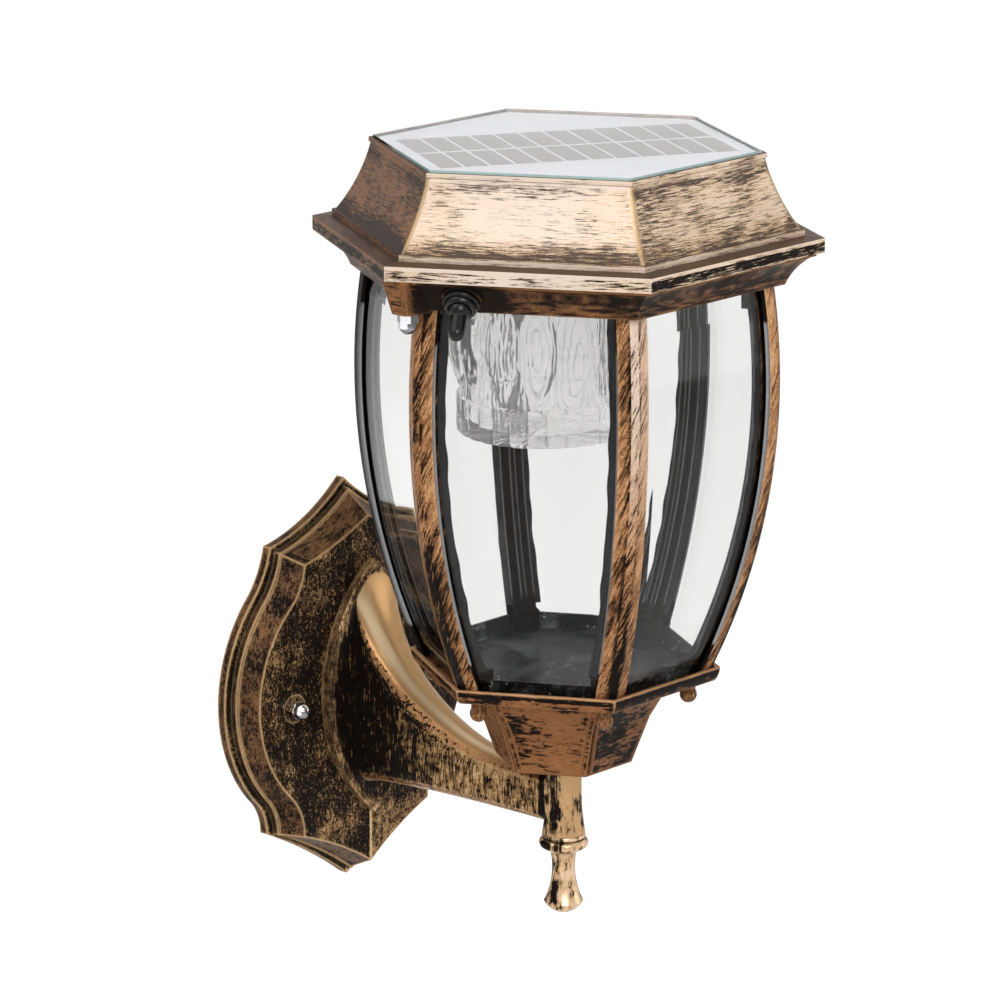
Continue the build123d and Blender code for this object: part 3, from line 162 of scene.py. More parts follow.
class Graph:
    """Short names for building a material's nodes."""

    def __init__(self, name):
        self.material = bpy.data.materials.new(name)
        self.material.use_nodes = True
        self.tree = self.material.node_tree
        self.tree.nodes.clear()
        self.out = self.tree.nodes.new("ShaderNodeOutputMaterial")
        geometry = self.add("ShaderNodeNewGeometry")
        self.place = geometry.outputs["Position"]
        self.normal = geometry.outputs["Normal"]

    def feed(self, socket, value):
        if isinstance(value, bpy.types.NodeSocket):
            self.tree.links.new(value, socket)
        elif value is not None:
            socket.default_value = value

    def add(self, kind, inputs=None, **settings):
        node = self.tree.nodes.new(kind)
        for key, value in settings.items():
            setattr(node, key, value)
        for key, value in (inputs or {}).items():
            self.feed(node.inputs[key], value)
        return node

    def math(self, operation, a, b=None, c=None):
        node = self.add("ShaderNodeMath", operation=operation)
        for socket, value in zip(node.inputs, (a, b, c)):
            self.feed(socket, value)
        return node.outputs[0]

    def times(self, a, b):
        return self.math("MULTIPLY", a, b)

    def plus(self, a, b):
        return self.math("ADD", a, b)

    def rest(self, value):
        """One less a value."""
        return self.math("SUBTRACT", 1.0, value)

    def blend(self, value, factor, base):
        """Value times factor plus base."""
        return self.math("MULTIPLY_ADD", value, factor, base)

    def vector(self, operation, a, b=None):
        node = self.add("ShaderNodeVectorMath", operation=operation)
        self.feed(node.inputs[0], a)
        self.feed(node.inputs[1], b)
        return node.outputs["Value" if operation in ("DOT_PRODUCT", "LENGTH") else "Vector"]

    def scaled(self, a, factor):
        node = self.add("ShaderNodeVectorMath", operation="SCALE")
        self.feed(node.inputs[0], a)
        self.feed(node.inputs["Scale"], factor)
        return node.outputs["Vector"]

    def part(self, vector, letter):
        return self.add("ShaderNodeSeparateXYZ", {"Vector": vector}).outputs[letter]

    def combine(self, x, y, z):
        return self.add("ShaderNodeCombineXYZ", {"X": x, "Y": y, "Z": z}).outputs[0]

    def noise(self, place, scale, detail=2.0, roughness=0.5, distortion=0.0):
        node = self.add("ShaderNodeTexNoise", {"Vector": place, "Scale": scale, "Detail": detail,
                                               "Roughness": roughness, "Distortion": distortion})
        return node.outputs["Fac"]

    def specks(self, place, scale, detail=3.0, roughness=0.6):
        """Noise about zero."""
        return self.math("SUBTRACT", self.noise(place, scale, detail, roughness), 0.5)

    def step(self, value, low, high, start=0.0, end=1.0):
        """Smooth step of a value from low to high, giving start to end."""
        node = self.add("ShaderNodeMapRange", interpolation_type="SMOOTHSTEP")
        limits = {"Value": value, "From Min": low, "From Max": high, "To Min": start, "To Max": end}
        for key, number in limits.items():
            self.feed(node.inputs[key], number)
        return node.outputs["Result"]

    def mix(self, factor, a, b):
        node = self.add("ShaderNodeMix", data_type="RGBA")
        self.feed(node.inputs["Factor"], factor)
        self.feed(node.inputs[6], a)
        self.feed(node.inputs[7], b)
        return node.outputs[2]

    def occlusion(self, distance, inside):
        settings = {"samples": 6, "inside": inside, "only_local": True}
        node = self.add("ShaderNodeAmbientOcclusion", {"Distance": distance}, **settings)
        return node.outputs["AO"]

    def bump(self, height, strength, distance, base=None):
        node = self.add("ShaderNodeBump", {"Height": height, "Strength": strength, "Distance": distance})
        self.feed(node.inputs["Normal"], base)
        return node.outputs["Normal"]

    def crease(self, radius):
        """Share of sharp edge, 0 on smooth faces."""
        turned = self.vector("DOT_PRODUCT", self.rounded(radius), self.normal)
        return self.step(turned, 0.998, 0.93)

    def rounded(self, radius):
        """Normal of softly rounded edges."""
        return self.add("ShaderNodeBevel", {"Radius": radius}, samples=4).outputs["Normal"]

    def shade(self, **inputs):
        shader = self.add("ShaderNodeBsdfPrincipled")
        for key, value in inputs.items():
            self.feed(shader.inputs[key.replace("_", " ")], value)
        self.tree.links.new(shader.outputs[0], self.out.inputs["Surface"])
        return self.material


def rgb(red, green, blue):
    return (red, green, blue, 1.0)


BLACK = rgb(0.0085, 0.0062, 0.0048)
SMOKE = rgb(0.056, 0.039, 0.031)
UMBER = rgb(0.235, 0.128, 0.076)
COPPER = rgb(0.33, 0.145, 0.058)
COPPER_LIGHT = rgb(0.64, 0.36, 0.18)
GOLD = rgb(0.55, 0.345, 0.170)
CREAM = rgb(0.72, 0.515, 0.335)
CREAM_LIGHT = rgb(0.755, 0.618, 0.505)
OLD_GOLD = rgb(0.31, 0.172, 0.070)
OLD_GOLD_LIGHT = rgb(0.66, 0.43, 0.215)
# Grey of the painted highlights along the ribs' inner edges
EDGE_HIGHLIGHT = rgb(0.60, 0.61, 0.62)


class Coat(Graph):
    """Black lacquer brushed with bronze: strokes along one direction, edges scuffed to bronze, dark grooves.
    """

    def __init__(self, name, stroke, length=1.0, width=1.0, edge=0.0016, fineness=0.46):
        super().__init__(name)
        from_axis = self.vector("SUBTRACT", self.place, AXIS)
        self.radial = self.vector("NORMALIZE", self.vector("MULTIPLY", from_axis, (1.0, 1.0, 0.0)))
        leaning = self.vector("ADD", self.normal, self.scaled(self.radial, 0.03))
        level = self.vector("NORMALIZE", self.vector("CROSS_PRODUCT", (0.0, 0.0, 1.0), leaning))
        facing = self.vector("CROSS_PRODUCT", level, (0.0, 0.0, 1.0))
        across = self.vector("DOT_PRODUCT", from_axis, level)
        height = self.part(self.place, "Z")
        fall = self.math("SUBTRACT", height, self.vector("DOT_PRODUCT", from_axis, facing))
        side = self.times(self.vector("DOT_PRODUCT", level, (3.1, 5.7, 2.3)), 4.0)
        if stroke == "level":
            run, rise = across, fall
        elif stroke == "upright":
            run, rise = height, across
        else:
            run = self.blend(across, 0.5, height)
            rise = self.blend(height, -0.42, across)
        fine = self.combine(self.times(run, 62.0 / length), self.times(rise, 950.0 / width), side)
        broad = self.combine(self.times(run, 26.0 / length), self.times(rise, 330.0 / width), side)
        patch = self.combine(self.times(run, 24.0), self.times(rise, 80.0), side)
        self.strokes = self.noise(fine, 1.0, 4.0, 0.62)
        self.grit = self.noise(self.place, 1100.0, 2.0, 0.6)
        self.edge = self.step(self.occlusion(edge, True), 0.92, 0.45)
        self.groove = self.step(self.occlusion(0.005, False), 0.82, 0.42)
        value = self.times(self.strokes, fineness)
        value = self.blend(self.noise(broad, 1.0, 3.0, 0.55), 0.72 - fineness, value)
        value = self.blend(self.noise(patch, 1.0, 3.0, 0.5), 0.20, value)
        self.value = self.blend(self.grit, 0.08, value)
        self.across = across

    def shaded(self):
        """Share of the side given painted shade."""
        return self.step(self.vector("DOT_PRODUCT", self.normal, tuple(SHADE_SIDE)), 0.30, 0.90)

    def rubbed_and_shaded(self, scale, cover):
        """Cover of turned work, with upright black patches and painted shade on one side."""
        upright = self.vector("MULTIPLY", self.place, (1.0, 1.0, 0.45))
        return self.blend(self.shaded(), -2.2, self.blend(self.specks(upright, scale), 16.0, cover))

    def finish(self, cover, tone, light, bare=BLACK, soft=0.033, edge=0.14, groove=0.16,
               metal=0.22, gloss=0.40, relief=0.2, grain=0.16):
        """Paints with a cover, where 0 leaves half of the lacquer bare and 1 about a sixth."""
        value = self.plus(self.value, self.times(cover, 0.07))
        value = self.blend(self.edge, edge, value)
        value = self.blend(self.groove, -groove, value)
        mask = self.step(value, 0.5 - soft, 0.5 + soft)
        bright = self.step(self.blend(self.grit, 0.25, value), 0.62, 0.80)
        colour = self.mix(mask, bare, self.mix(bright, tone, light))
        roughness = self.blend(self.grit, grain, gloss - grain / 2)
        height = self.blend(self.strokes, 0.5, self.times(mask, 0.6))
        normal = self.bump(height, relief, 0.0004, self.rounded(0.0005))
        return self.shade(Base_Color=colour, Metallic=self.times(mask, metal), Roughness=roughness,
                          Specular_IOR_Level=0.03, Normal=normal)


def hood_coat():
    """Cream gold on the switch side, streaked in front, brown towards the wall, dark at lip and rim; these
    side tones are painted light and shade, with a painted highlight mid-face and painted shade on up-facing
    faces.
    """
    c = Coat("hood_bronze", "level", length=0.42, width=0.52, fineness=0.60)
    height = c.part(c.place, "Z")
    flat_normal = c.vector("NORMALIZE", c.vector("MULTIPLY", c.normal, (1.0, 1.0, 0.0)))
    # Painted light: faces towards the switch and the front get cream gold, more bronze and paler bare
    # lacquer; the wall side stays brown as painted shade.
    switch_side = c.step(c.vector("DOT_PRODUCT", flat_normal, tuple(SWITCH_SIDE)), 0.70, 0.92)
    front = c.step(c.times(c.part(flat_normal, "Y"), -1.0), 0.70, 0.92)
    pale = c.math("MAXIMUM", switch_side, front)
    turn = c.math("ARCTAN2", c.part(flat_normal, "X"), c.part(flat_normal, "Y"))
    hip = c.step(c.math("PINGPONG", turn, pi / 6), 0.14, 0.30)
    # Painted shade on up-facing faces such as the ledge over the brim: a dark brown tone and less bronze.
    upward = c.step(c.part(c.normal, "Z"), 0.78, 0.92)
    rim = c.step(height, RIM_LOW, RIM_HIGH)
    brim = c.step(height, BRIM_LEVEL - 0.0004, BRIM_LEVEL - 0.0008)
    bead = c.times(c.step(height, BEAD_LOW, BEAD_LOW + 0.0005), c.step(height, BEAD_HIGH, BEAD_HIGH - 0.0006))
    over_bead = c.times(c.step(height, BEAD_HIGH - 0.0005, BEAD_HIGH), c.step(height, SHADE_HIGH, BEAD_HIGH))
    # Painted highlight: paler cream in the middle of the switch-side face.
    middle = c.step(c.math("ABSOLUTE", c.across), 0.046, 0.010)
    clusters = c.specks(c.place, 45.0, 3.0, 0.55)
    cover = c.blend(switch_side, 0.95, c.blend(front, 0.20, 0.25))
    cover = c.blend(clusters, 3.6, cover)
    cover = c.blend(c.times(rim, c.blend(front, 0.7, 1.0)), -1.35, cover)
    cover = c.blend(c.times(over_bead, c.blend(front, -0.6, 1.0)), -1.9, cover)
    cover = c.blend(bead, 1.1, cover)
    cover = c.blend(brim, -0.75, cover)
    cover = c.blend(c.times(brim, front), -0.9, cover)
    cover = c.blend(hip, 0.9, cover)
    cover = c.blend(upward, -0.8, cover)
    lit_gilt = c.mix(c.times(switch_side, c.blend(middle, 0.7, 0.2)), CREAM, CREAM_LIGHT)
    lit_gilt = c.mix(over_bead, lit_gilt, GOLD)
    tone = c.mix(pale, UMBER, lit_gilt)
    tone = c.mix(hip, tone, rgb(0.48, 0.31, 0.160))
    tone = c.mix(upward, tone, rgb(0.090, 0.052, 0.032))
    faced = c.rest(c.math("MAXIMUM", upward, hip))
    light = c.mix(c.times(pale, faced), COPPER, CREAM_LIGHT)
    light = c.mix(hip, light, rgb(0.60, 0.42, 0.240))
    light = c.mix(upward, light, rgb(0.14, 0.078, 0.045))
    bare = c.mix(pale, SMOKE, rgb(0.105, 0.076, 0.060))
    return c.finish(cover, tone, light, bare=c.mix(brim, bare, BLACK), soft=0.045, groove=0.20)


def rib_coat():
    """Copper with slanting strokes, a painted highlight on the front rib and painted shade on faces towards
    the switch, black on the inside with painted grey highlights along its edges.
    """
    c = Coat("rib_copper", "slant", length=0.46, width=0.75)
    height = c.part(c.place, "Z")
    out = c.vector("DOT_PRODUCT", c.normal, c.radial)
    outside = c.step(out, 0.12, 0.35)
    nose = c.step(out, 0.93, 0.975)
    front_rib = c.step(c.vector("DOT_PRODUCT", c.radial, tuple(FRONT_RIB)), 0.80, 0.90)
    wallward = c.step(c.part(c.radial, "Y"), 0.6, 0.8)
    # Painted shade on faces towards the switch side; painted highlight on the front rib's front-facing
    # chamfer and nose.
    shaded_side = c.step(c.vector("DOT_PRODUCT", c.normal, tuple(SWITCH_SIDE)), 0.90, 0.98)
    lit_side = c.times(c.step(c.times(c.part(c.normal, "Y"), -1.0), 0.82, 0.95), front_rib)
    low = c.step(height, *FEET_DARK)
    cover = c.blend(shaded_side, -0.45, 0.25)
    cover = c.blend(lit_side, -0.05, cover)
    cover = c.blend(c.times(nose, front_rib), 0.6, cover)
    cover = c.blend(low, -1.5, cover)
    pale = c.math("MAXIMUM", c.times(lit_side, 0.55), c.times(nose, front_rib))
    pale = c.times(pale, c.step(height, *HIGHLIGHT_LEVELS))
    painted = c.times(outside, c.rest(wallward))
    cover = c.blend(c.rest(painted), -12.0, cover)
    tone = c.mix(pale, COPPER, rgb(0.66, 0.50, 0.38))
    light = c.mix(pale, COPPER_LIGHT, CREAM_LIGHT)
    over_foot = c.step(height, rib_low.z + END_BLOCK, rib_low.z + END_BLOCK + 0.002)
    under_head = c.step(height, rib_high.z - END_BLOCK, rib_high.z - END_BLOCK - 0.002)
    bow = c.times(over_foot, under_head)
    # Painted highlights: grey along the edges of the black inside, between the end blocks.
    highlit_edges = c.times(c.times(c.rest(painted), c.step(c.edge, 0.55, 0.95)), bow)
    bare = c.mix(c.times(highlit_edges, 0.6), BLACK, EDGE_HIGHLIGHT)
    return c.finish(cover, tone, light, bare=bare, edge=0.12)


def plate_coat():
    """Pitted black front with fine gold flecks, smooth brown sloping band, gold along every edge."""
    c = Coat("plate_gold", "upright", length=0.09, width=0.6, edge=0.0018)
    turned = c.math("ABSOLUTE", c.part(c.normal, "Y"))
    band = c.step(turned, 0.975, 0.90)
    front = c.rest(band)
    line = c.times(c.crease(0.0014), c.rest(c.groove))
    pits = c.specks(c.place, 2100.0, 2.0, 0.7)
    clouds = c.specks(c.place, 60.0, 3.0, 0.55)
    cover = c.blend(band, 1.3, -0.85)
    cover = c.blend(c.times(pits, front), 7.0, cover)
    cover = c.blend(clouds, 4.0, cover)
    below = c.step(c.part(c.place, "Z"), RIDGE_LEVEL, RIDGE_LEVEL - 0.0035)
    across = c.part(c.place, "X")
    ridge = c.times(c.step(c.math("ABSOLUTE", across), RIDGE_HALF, 0.3 * RIDGE_HALF), below)
    line = c.math("MAXIMUM", line, ridge)
    cover = c.blend(c.times(c.step(across, 0.0, 0.001), below), 0.8, cover)
    cover = c.blend(line, 2.6, cover)
    shades = c.step(c.noise(c.place, 90.0, 4.0, 0.6), 0.36, 0.66)
    brown = c.mix(shades, rgb(0.024, 0.014, 0.009), rgb(0.145, 0.075, 0.034))
    tone = c.mix(band, OLD_GOLD, brown)
    tone = c.mix(line, tone, rgb(0.82, 0.57, 0.31))
    light = c.mix(c.times(band, c.rest(line)), OLD_GOLD_LIGHT, rgb(0.21, 0.108, 0.053))
    return c.finish(cover, tone, light, edge=0.20, groove=0.18, relief=0.5)


def arm_coat():
    """Gold crown and sole, dark flat sides with upright strokes, polished shank with black patches and
    painted shade on one side; the crown has a painted highlight along it and painted shade towards its edges.
    """
    c = Coat("arm_gold", "upright", length=0.24, width=0.34, edge=0.0042)
    aside = c.part(c.normal, "X")
    sideways = c.math("ABSOLUTE", aside)
    depth = c.part(c.place, "Y")
    horn = c.step(depth, HORN_START, HORN_START - 0.00025)
    crown = c.times(horn, c.step(sideways, 0.94, 0.80))
    shoulder = c.times(c.step(sideways, 0.60, 0.70), c.step(sideways, 0.90, 0.82))
    dashes = c.step(c.noise(c.place, 620.0, 2.0, 0.6), 0.50, 0.60)
    tail = c.step(depth, *TAIL)
    from_axis = c.vector("SUBTRACT", c.place, tuple(AXIS))
    reach = c.vector("LENGTH", c.vector("MULTIPLY", from_axis, (1.0, 1.0, 0.0)))
    shank = c.step(reach, SHANK_RADIUS, SHANK_RADIUS - 0.0006)
    cover = c.blend(crown, 2.7, -1.15)
    cover = c.blend(tail, 1.5, cover)
    cover = c.blend(c.times(c.times(shoulder, dashes), horn), -3.2, cover)
    cover = c.blend(c.times(c.specks(c.place, 300.0), c.rest(crown)), 4.0, cover)
    cover = c.plus(c.times(cover, c.rest(shank)), c.times(shank, c.rubbed_and_shaded(230.0, 0.9)))
    # Painted highlight along the crown, and painted shade darkening the crown towards its sides.
    ridge = c.step(c.math("ABSOLUTE", c.plus(aside, 0.30)), 0.24, 0.02)
    lit_crest = c.mix(c.step(sideways, 0.80, 0.45), rgb(0.27, 0.130, 0.055), rgb(0.54, 0.320, 0.140))
    lit_crest = c.mix(c.times(ridge, 0.85), lit_crest, rgb(0.95, 0.73, 0.46))
    tone = c.mix(crown, OLD_GOLD, lit_crest)
    tone = c.mix(shank, tone, rgb(0.52, 0.320, 0.155))
    light = c.mix(crown, OLD_GOLD_LIGHT, tone)
    return c.finish(cover, tone, light, edge=0.17, metal=0.40, gloss=0.26, relief=0.06, grain=0.04)


def screw_coat():
    """Copper strokes on the screws under the tray."""
    return Coat("screw_copper", "level", length=0.3, width=0.7).finish(0.0, COPPER, COPPER_LIGHT)


def ring_coat():
    """Dark brown ring with soft copper strokes, copper edges and lugs, black round the switch; its dark brown
    is partly painted shade under the brim.
    """
    c = Coat("ring_copper", "level", length=0.5, width=0.7, fineness=0.56)
    from_switch = c.vector("LENGTH", c.vector("SUBTRACT", c.place, SWITCH_PLACE))
    from_axis = c.vector("ABSOLUTE", c.vector("SUBTRACT", c.place, tuple(AXIS)))
    beyond = c.step(c.part(from_axis, "X"), LUG_START, LUG_START + 0.004)
    lug = c.times(beyond, c.step(c.part(from_axis, "Y"), LUG_HALF, LUG_HALF - 0.002))
    # Thin bronze cover and the dark brown body tone are partly painted shade under the brim.
    cover = c.blend(c.step(from_switch, *SWITCH_SHADE), -2.6, -0.35)
    cover = c.blend(lug, 0.8, cover)
    tone = c.mix(lug, rgb(0.17, 0.080, 0.038), rgb(0.27, 0.122, 0.052))
    return c.finish(cover, tone, COPPER, bare=rgb(0.016, 0.011, 0.008), soft=0.07, edge=0.20)


def cup_coat():
    """Copper cup with fine level strokes, darker in front as painted shade, and a black tray lip with copper
    edges.
    """
    c = Coat("cup_copper", "level", length=0.24, width=0.7)
    height = c.part(c.place, "Z")
    lip = c.step(height, TRAY_LEVEL + 0.0002, TRAY_LEVEL + 0.0006)
    # Painted shade: front faces get less bronze and a deeper tone.
    front = c.step(c.times(c.part(c.normal, "Y"), -1.0), 0.75, 0.92)
    line = c.step(c.crease(0.0015), 0.05, 0.35)
    cover = c.blend(front, -0.75, 0.55)
    cover = c.blend(lip, -1.5, cover)
    cover = c.blend(line, 3.2, cover)
    cover = c.blend(c.specks(c.place, 60.0, 2.0, 0.5), 4.0, cover)
    tone = c.mix(front, rgb(0.255, 0.106, 0.043), rgb(0.155, 0.068, 0.031))
    tone = c.mix(line, tone, rgb(0.46, 0.225, 0.100))
    light = c.mix(lip, COPPER, COPPER_LIGHT)
    return c.finish(cover, tone, light, edge=0.18, groove=0.06)


def finial_coat():
    """Polished gold with black patches and painted shade on one side."""
    c = Coat("finial_gold", "upright", length=0.5)
    cover = c.rubbed_and_shaded(260.0, 1.4)
    return c.finish(cover, rgb(0.56, 0.350, 0.180), CREAM, groove=0.30, metal=0.45, gloss=0.24)


def pane_glass():
    """Clear glass with a faint wave and smears in its polish."""
    g = Graph("pane_glass")
    tint = rgb(0.868, 0.865, 0.860)
    wavy = g.bump(g.noise(g.place, 22.0, 1.0, 0.4), 0.02, 0.002)
    smears = g.step(g.noise(g.place, 60.0, 4.0, 0.6), 0.55, 0.80, 0.0, 0.02)
    return g.shade(Base_Color=tint, Roughness=smears, IOR=1.16, Transmission_Weight=1.0, Normal=wavy)


def panel_glass():
    """Clear cover glass with ground greenish edges on its open side."""
    g = Graph("panel_glass")
    from_axis = g.vector("SUBTRACT", g.place, tuple(AXIS))
    open_side = g.step(g.vector("DOT_PRODUCT", from_axis, tuple(OPEN_SIDE)), 0.0, 0.02)
    edge = g.times(g.step(g.math("ABSOLUTE", g.part(g.normal, "Z")), 0.8, 0.3), open_side)
    colour = g.mix(edge, rgb(0.965, 0.968, 0.980), rgb(0.42, 0.56, 0.55))
    smears = g.step(g.noise(g.place, 60.0, 4.0, 0.6), 0.55, 0.80, 0.0, 0.03)
    roughness = g.math("MAXIMUM", smears, g.times(edge, 0.4))
    clear = g.rest(edge)
    return g.shade(Base_Color=colour, Roughness=roughness, IOR=1.16, Transmission_Weight=clear)


def cut_glass():
    """Pressed glass with the grey outlines of its nested ovals and flutes, painted in as dark refractions."""
    g = Graph("cut_glass")
    from_axis = g.vector("SUBTRACT", g.place, tuple(CRYSTAL_AXIS))
    reach = g.vector("LENGTH", g.vector("MULTIPLY", from_axis, (1.0, 1.0, 0.0)))
    height = g.part(g.place, "Z")
    bore = g.step(reach, BORE + 0.002, BORE + 0.001)
    turn = g.math("ARCTAN2", g.part(from_axis, "X"), g.part(from_axis, "Y"))
    off_petal = g.times(g.math("PINGPONG", turn, pi / PETALS), PETAL_RING / PETAL_HALF)
    middle = crystal_high.z - PETAL_DROP - PETAL_LENGTH / 2
    lift = g.times(g.math("SUBTRACT", height, middle), 1.3 / PETAL_LENGTH)
    oval = g.math("SQRT", g.plus(g.times(off_petal, off_petal), g.times(lift, lift)))
    wander = g.blend(g.noise(g.place, 75.0, 2.0, 0.5), 0.55, oval)
    wave = g.math("PINGPONG", wander, 0.12)
    uneven = g.step(g.noise(g.place, 130.0, 3.0, 0.6), 0.36, 0.66)
    # The grey rings and flute bars are painted refractions of dark parts seen through the glass.
    ovals = g.times(g.step(wave, 0.036, 0.004), g.blend(uneven, 0.75, 0.25))
    seam = g.step(g.math("PINGPONG", turn, pi / FLUTES), 0.080, 0.108)
    flutes = g.times(seam, g.step(g.noise(g.place, 160.0, 1.0, 0.4), 0.42, 0.58))
    band = g.step(height, crystal_low.z + BAND + 0.0008, crystal_low.z + BAND - 0.0002)
    refraction_lines = g.math("MAXIMUM", g.times(ovals, g.rest(band)), g.times(flutes, band))
    refraction_lines = g.times(refraction_lines, g.rest(bore))
    colour = g.mix(g.times(refraction_lines, 0.5), rgb(1.0, 1.0, 0.995), rgb(0.22, 0.23, 0.245))
    ripple = g.bump(wave, 0.6, 0.0020)
    return g.shade(Base_Color=colour, Roughness=0.02, IOR=1.10, Transmission_Weight=0.86, Normal=ripple)


def plain(name, dark, light, roughness, metallic=0.0, grain=600.0, bump=0.08, specular=0.3):
    """Even coat with grain in its colour, gloss and surface."""
    g = Graph(name)
    fine = g.noise(g.place, grain, 3.0, 0.6)
    broad = g.noise(g.place, grain / 14, 3.0, 0.55)
    colour = g.mix(g.step(g.plus(fine, broad), 0.75, 1.25), dark, light)
    gloss = g.blend(broad, 0.08, roughness - 0.04)
    normal = g.bump(fine, bump, 0.0003, g.rounded(0.0003))
    return g.shade(Base_Color=colour, Metallic=metallic, Roughness=gloss, Normal=normal,
                   Specular_IOR_Level=specular)


def chrome():
    """Bright plating with painted reflections: alternate dark facets and a dome darker below."""
    g = Graph("nut_chrome")
    upward = g.part(g.normal, "Z")
    turn = g.math("ARCTAN2", g.part(g.normal, "X"), g.part(g.normal, "Y"))
    # Painted reflections: dark and bright facets, and the dome's light top and dark underside.
    facet = g.step(g.math("SINE", g.blend(turn, 3.0, 0.6)), -0.25, 0.25)
    side = g.mix(facet, rgb(0.16, 0.16, 0.165), rgb(0.84, 0.84, 0.85))
    dome = g.mix(g.step(upward, -0.5, 0.5), rgb(0.16, 0.16, 0.17), rgb(0.90, 0.90, 0.91))
    colour = g.mix(g.step(g.math("ABSOLUTE", upward), 0.10, 0.35), side, dome)
    gloss = g.step(g.noise(g.place, 900.0), 0.3, 0.7, 0.06, 0.14)
    return g.shade(Base_Color=colour, Metallic=1.0, Roughness=gloss, Normal=g.rounded(0.0003))


def dust_and_sheen_black():
    """Satin black paint inside the lantern, with dusty patches that also stand in for a painted sheen, and a
    few pale specks.
    """
    g = Graph("pan_black")
    dust_and_sheen = g.step(g.noise(g.place, 38.0, 6.0, 0.72, 0.9), 0.47, 0.72)
    specks = g.step(g.noise(g.place, 520.0, 2.0, 0.5), 0.64, 0.72)
    colour = g.mix(g.times(dust_and_sheen, 0.8), rgb(0.008, 0.009, 0.009), rgb(0.16, 0.17, 0.17))
    colour = g.mix(g.times(specks, 0.7), colour, rgb(0.40, 0.41, 0.40))
    gloss = g.blend(dust_and_sheen, 0.2, 0.30)
    normal = g.bump(g.noise(g.place, 250.0, 3.0, 0.6), 0.12, 0.0006)
    return g.shade(Base_Color=colour, Roughness=gloss, Specular_IOR_Level=0.06, Normal=normal)


def solar_cell():
    """Taupe silicon with a faint crystal mottle and pale printed borders."""
    g = Graph("silicon")
    mottle = g.noise(g.place, 90.0, 3.0, 0.6)
    from_axis = g.vector("SUBTRACT", g.place, tuple(AXIS))
    column = g.math("PINGPONG", g.vector("DOT_PRODUCT", from_axis, tuple(CELL_RUN)), CELL_PITCH / 2)
    row = g.math("ABSOLUTE", g.vector("DOT_PRODUCT", from_axis, tuple(CELL_RISE)))
    beside_column = g.step(column, COLUMN_BORDER, COLUMN_BORDER - 0.00015)
    border = g.math("MAXIMUM", beside_column, g.step(row, MIDDLE_BORDER, MIDDLE_BORDER - 0.0002))
    colour = g.mix(mottle, rgb(0.135, 0.103, 0.095), rgb(0.215, 0.172, 0.162))
    colour = g.mix(border, colour, rgb(0.72, 0.72, 0.74))
    gloss = g.blend(mottle, 0.15, 0.35)
    return g.shade(Base_Color=colour, Roughness=gloss, Specular_IOR_Level=0.2)


def paint(names, material):
    """Gives CAD nodes one material."""
    for name in names:
        slots = nodes[name].data.materials
        slots.clear()
        slots.append(material)


RIBS = [f"rib_{k}" for k in range(1, 7)]
PANES = [f"pane_{k}" for k in range(1, 7)]

paint(["hood"], hood_coat())
paint(["cage_ring"], ring_coat())
paint(["base_casting"], cup_coat())
paint(["rib_foot_screws"], screw_coat())
paint(RIBS, rib_coat())
paint(["backplate"], plate_coat())
paint(["arm"], arm_coat())
paint(["finial"], finial_coat())
paint(PANES, pane_glass())
paint(["solar_glass"], panel_glass())
paint(["hood_cap_nuts", "plate_cap_nuts"], chrome())
paint(["wall_crossbar", "wall_studs", "arm_screws", "hood_studs", "rib_top_screws", "lamp_plate_screws",
       "crystal_screws", "tie_rod", "rod_washer", "rod_nut", "switch_nut", "switch_lever"],
      plain("zinc_steel", rgb(0.40, 0.40, 0.38), rgb(0.62, 0.62, 0.60), 0.36, 1.0))
paint(["floor_pan", "lamp_plate"], dust_and_sheen_black())
paint(["crystal_ring", "switch_body", "battery_holder", "board_standoffs"],
      plain("moulded_black", rgb(0.010, 0.010, 0.010), rgb(0.024, 0.024, 0.024), 0.42))
paint(["boot_collar", "boot_sleeve"],
      plain("boot_rubber", rgb(0.003, 0.003, 0.003), rgb(0.007, 0.007, 0.007), 0.13,
            grain=900.0, bump=0.03, specular=0.22))
paint(["panel_seal"], plain("seal_grey", rgb(0.42, 0.45, 0.43), rgb(0.60, 0.63, 0.60), 0.55))
paint(["solar_cells"], solar_cell())
paint(["solar_backsheet"],
      plain("sheet_white", rgb(0.62, 0.62, 0.65), rgb(0.70, 0.70, 0.73), 0.5, grain=300.0))
paint(["light_board"], plain("board_white", rgb(0.70, 0.70, 0.68), rgb(0.84, 0.84, 0.82), 0.45))
paint(["light_chips"], plain("chip_yellow", rgb(0.75, 0.52, 0.10), rgb(0.88, 0.70, 0.25), 0.35))
paint(["control_board"], plain("board_green", rgb(0.010, 0.085, 0.030), rgb(0.025, 0.14, 0.055), 0.4))
paint(["battery_cell"], plain("cell_wrap", rgb(0.02, 0.09, 0.20), rgb(0.05, 0.15, 0.30), 0.3))


def mesh_piece(name, vertices, faces, material, body):
    """New smooth mesh object that rides on a body."""
    mesh = bpy.data.meshes.new(name)
    mesh.from_pydata(vertices, [], faces)
    mesh.materials.append(material)
    mesh.update()
    for polygon in mesh.polygons:
        polygon.use_smooth = True
    mesh.set_sharp_from_angle(angle=SHARP_CORNER)
    piece = bpy.data.objects.new(name, mesh)
    bpy.context.scene.collection.objects.link(piece)
    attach(piece, body)
    return piece


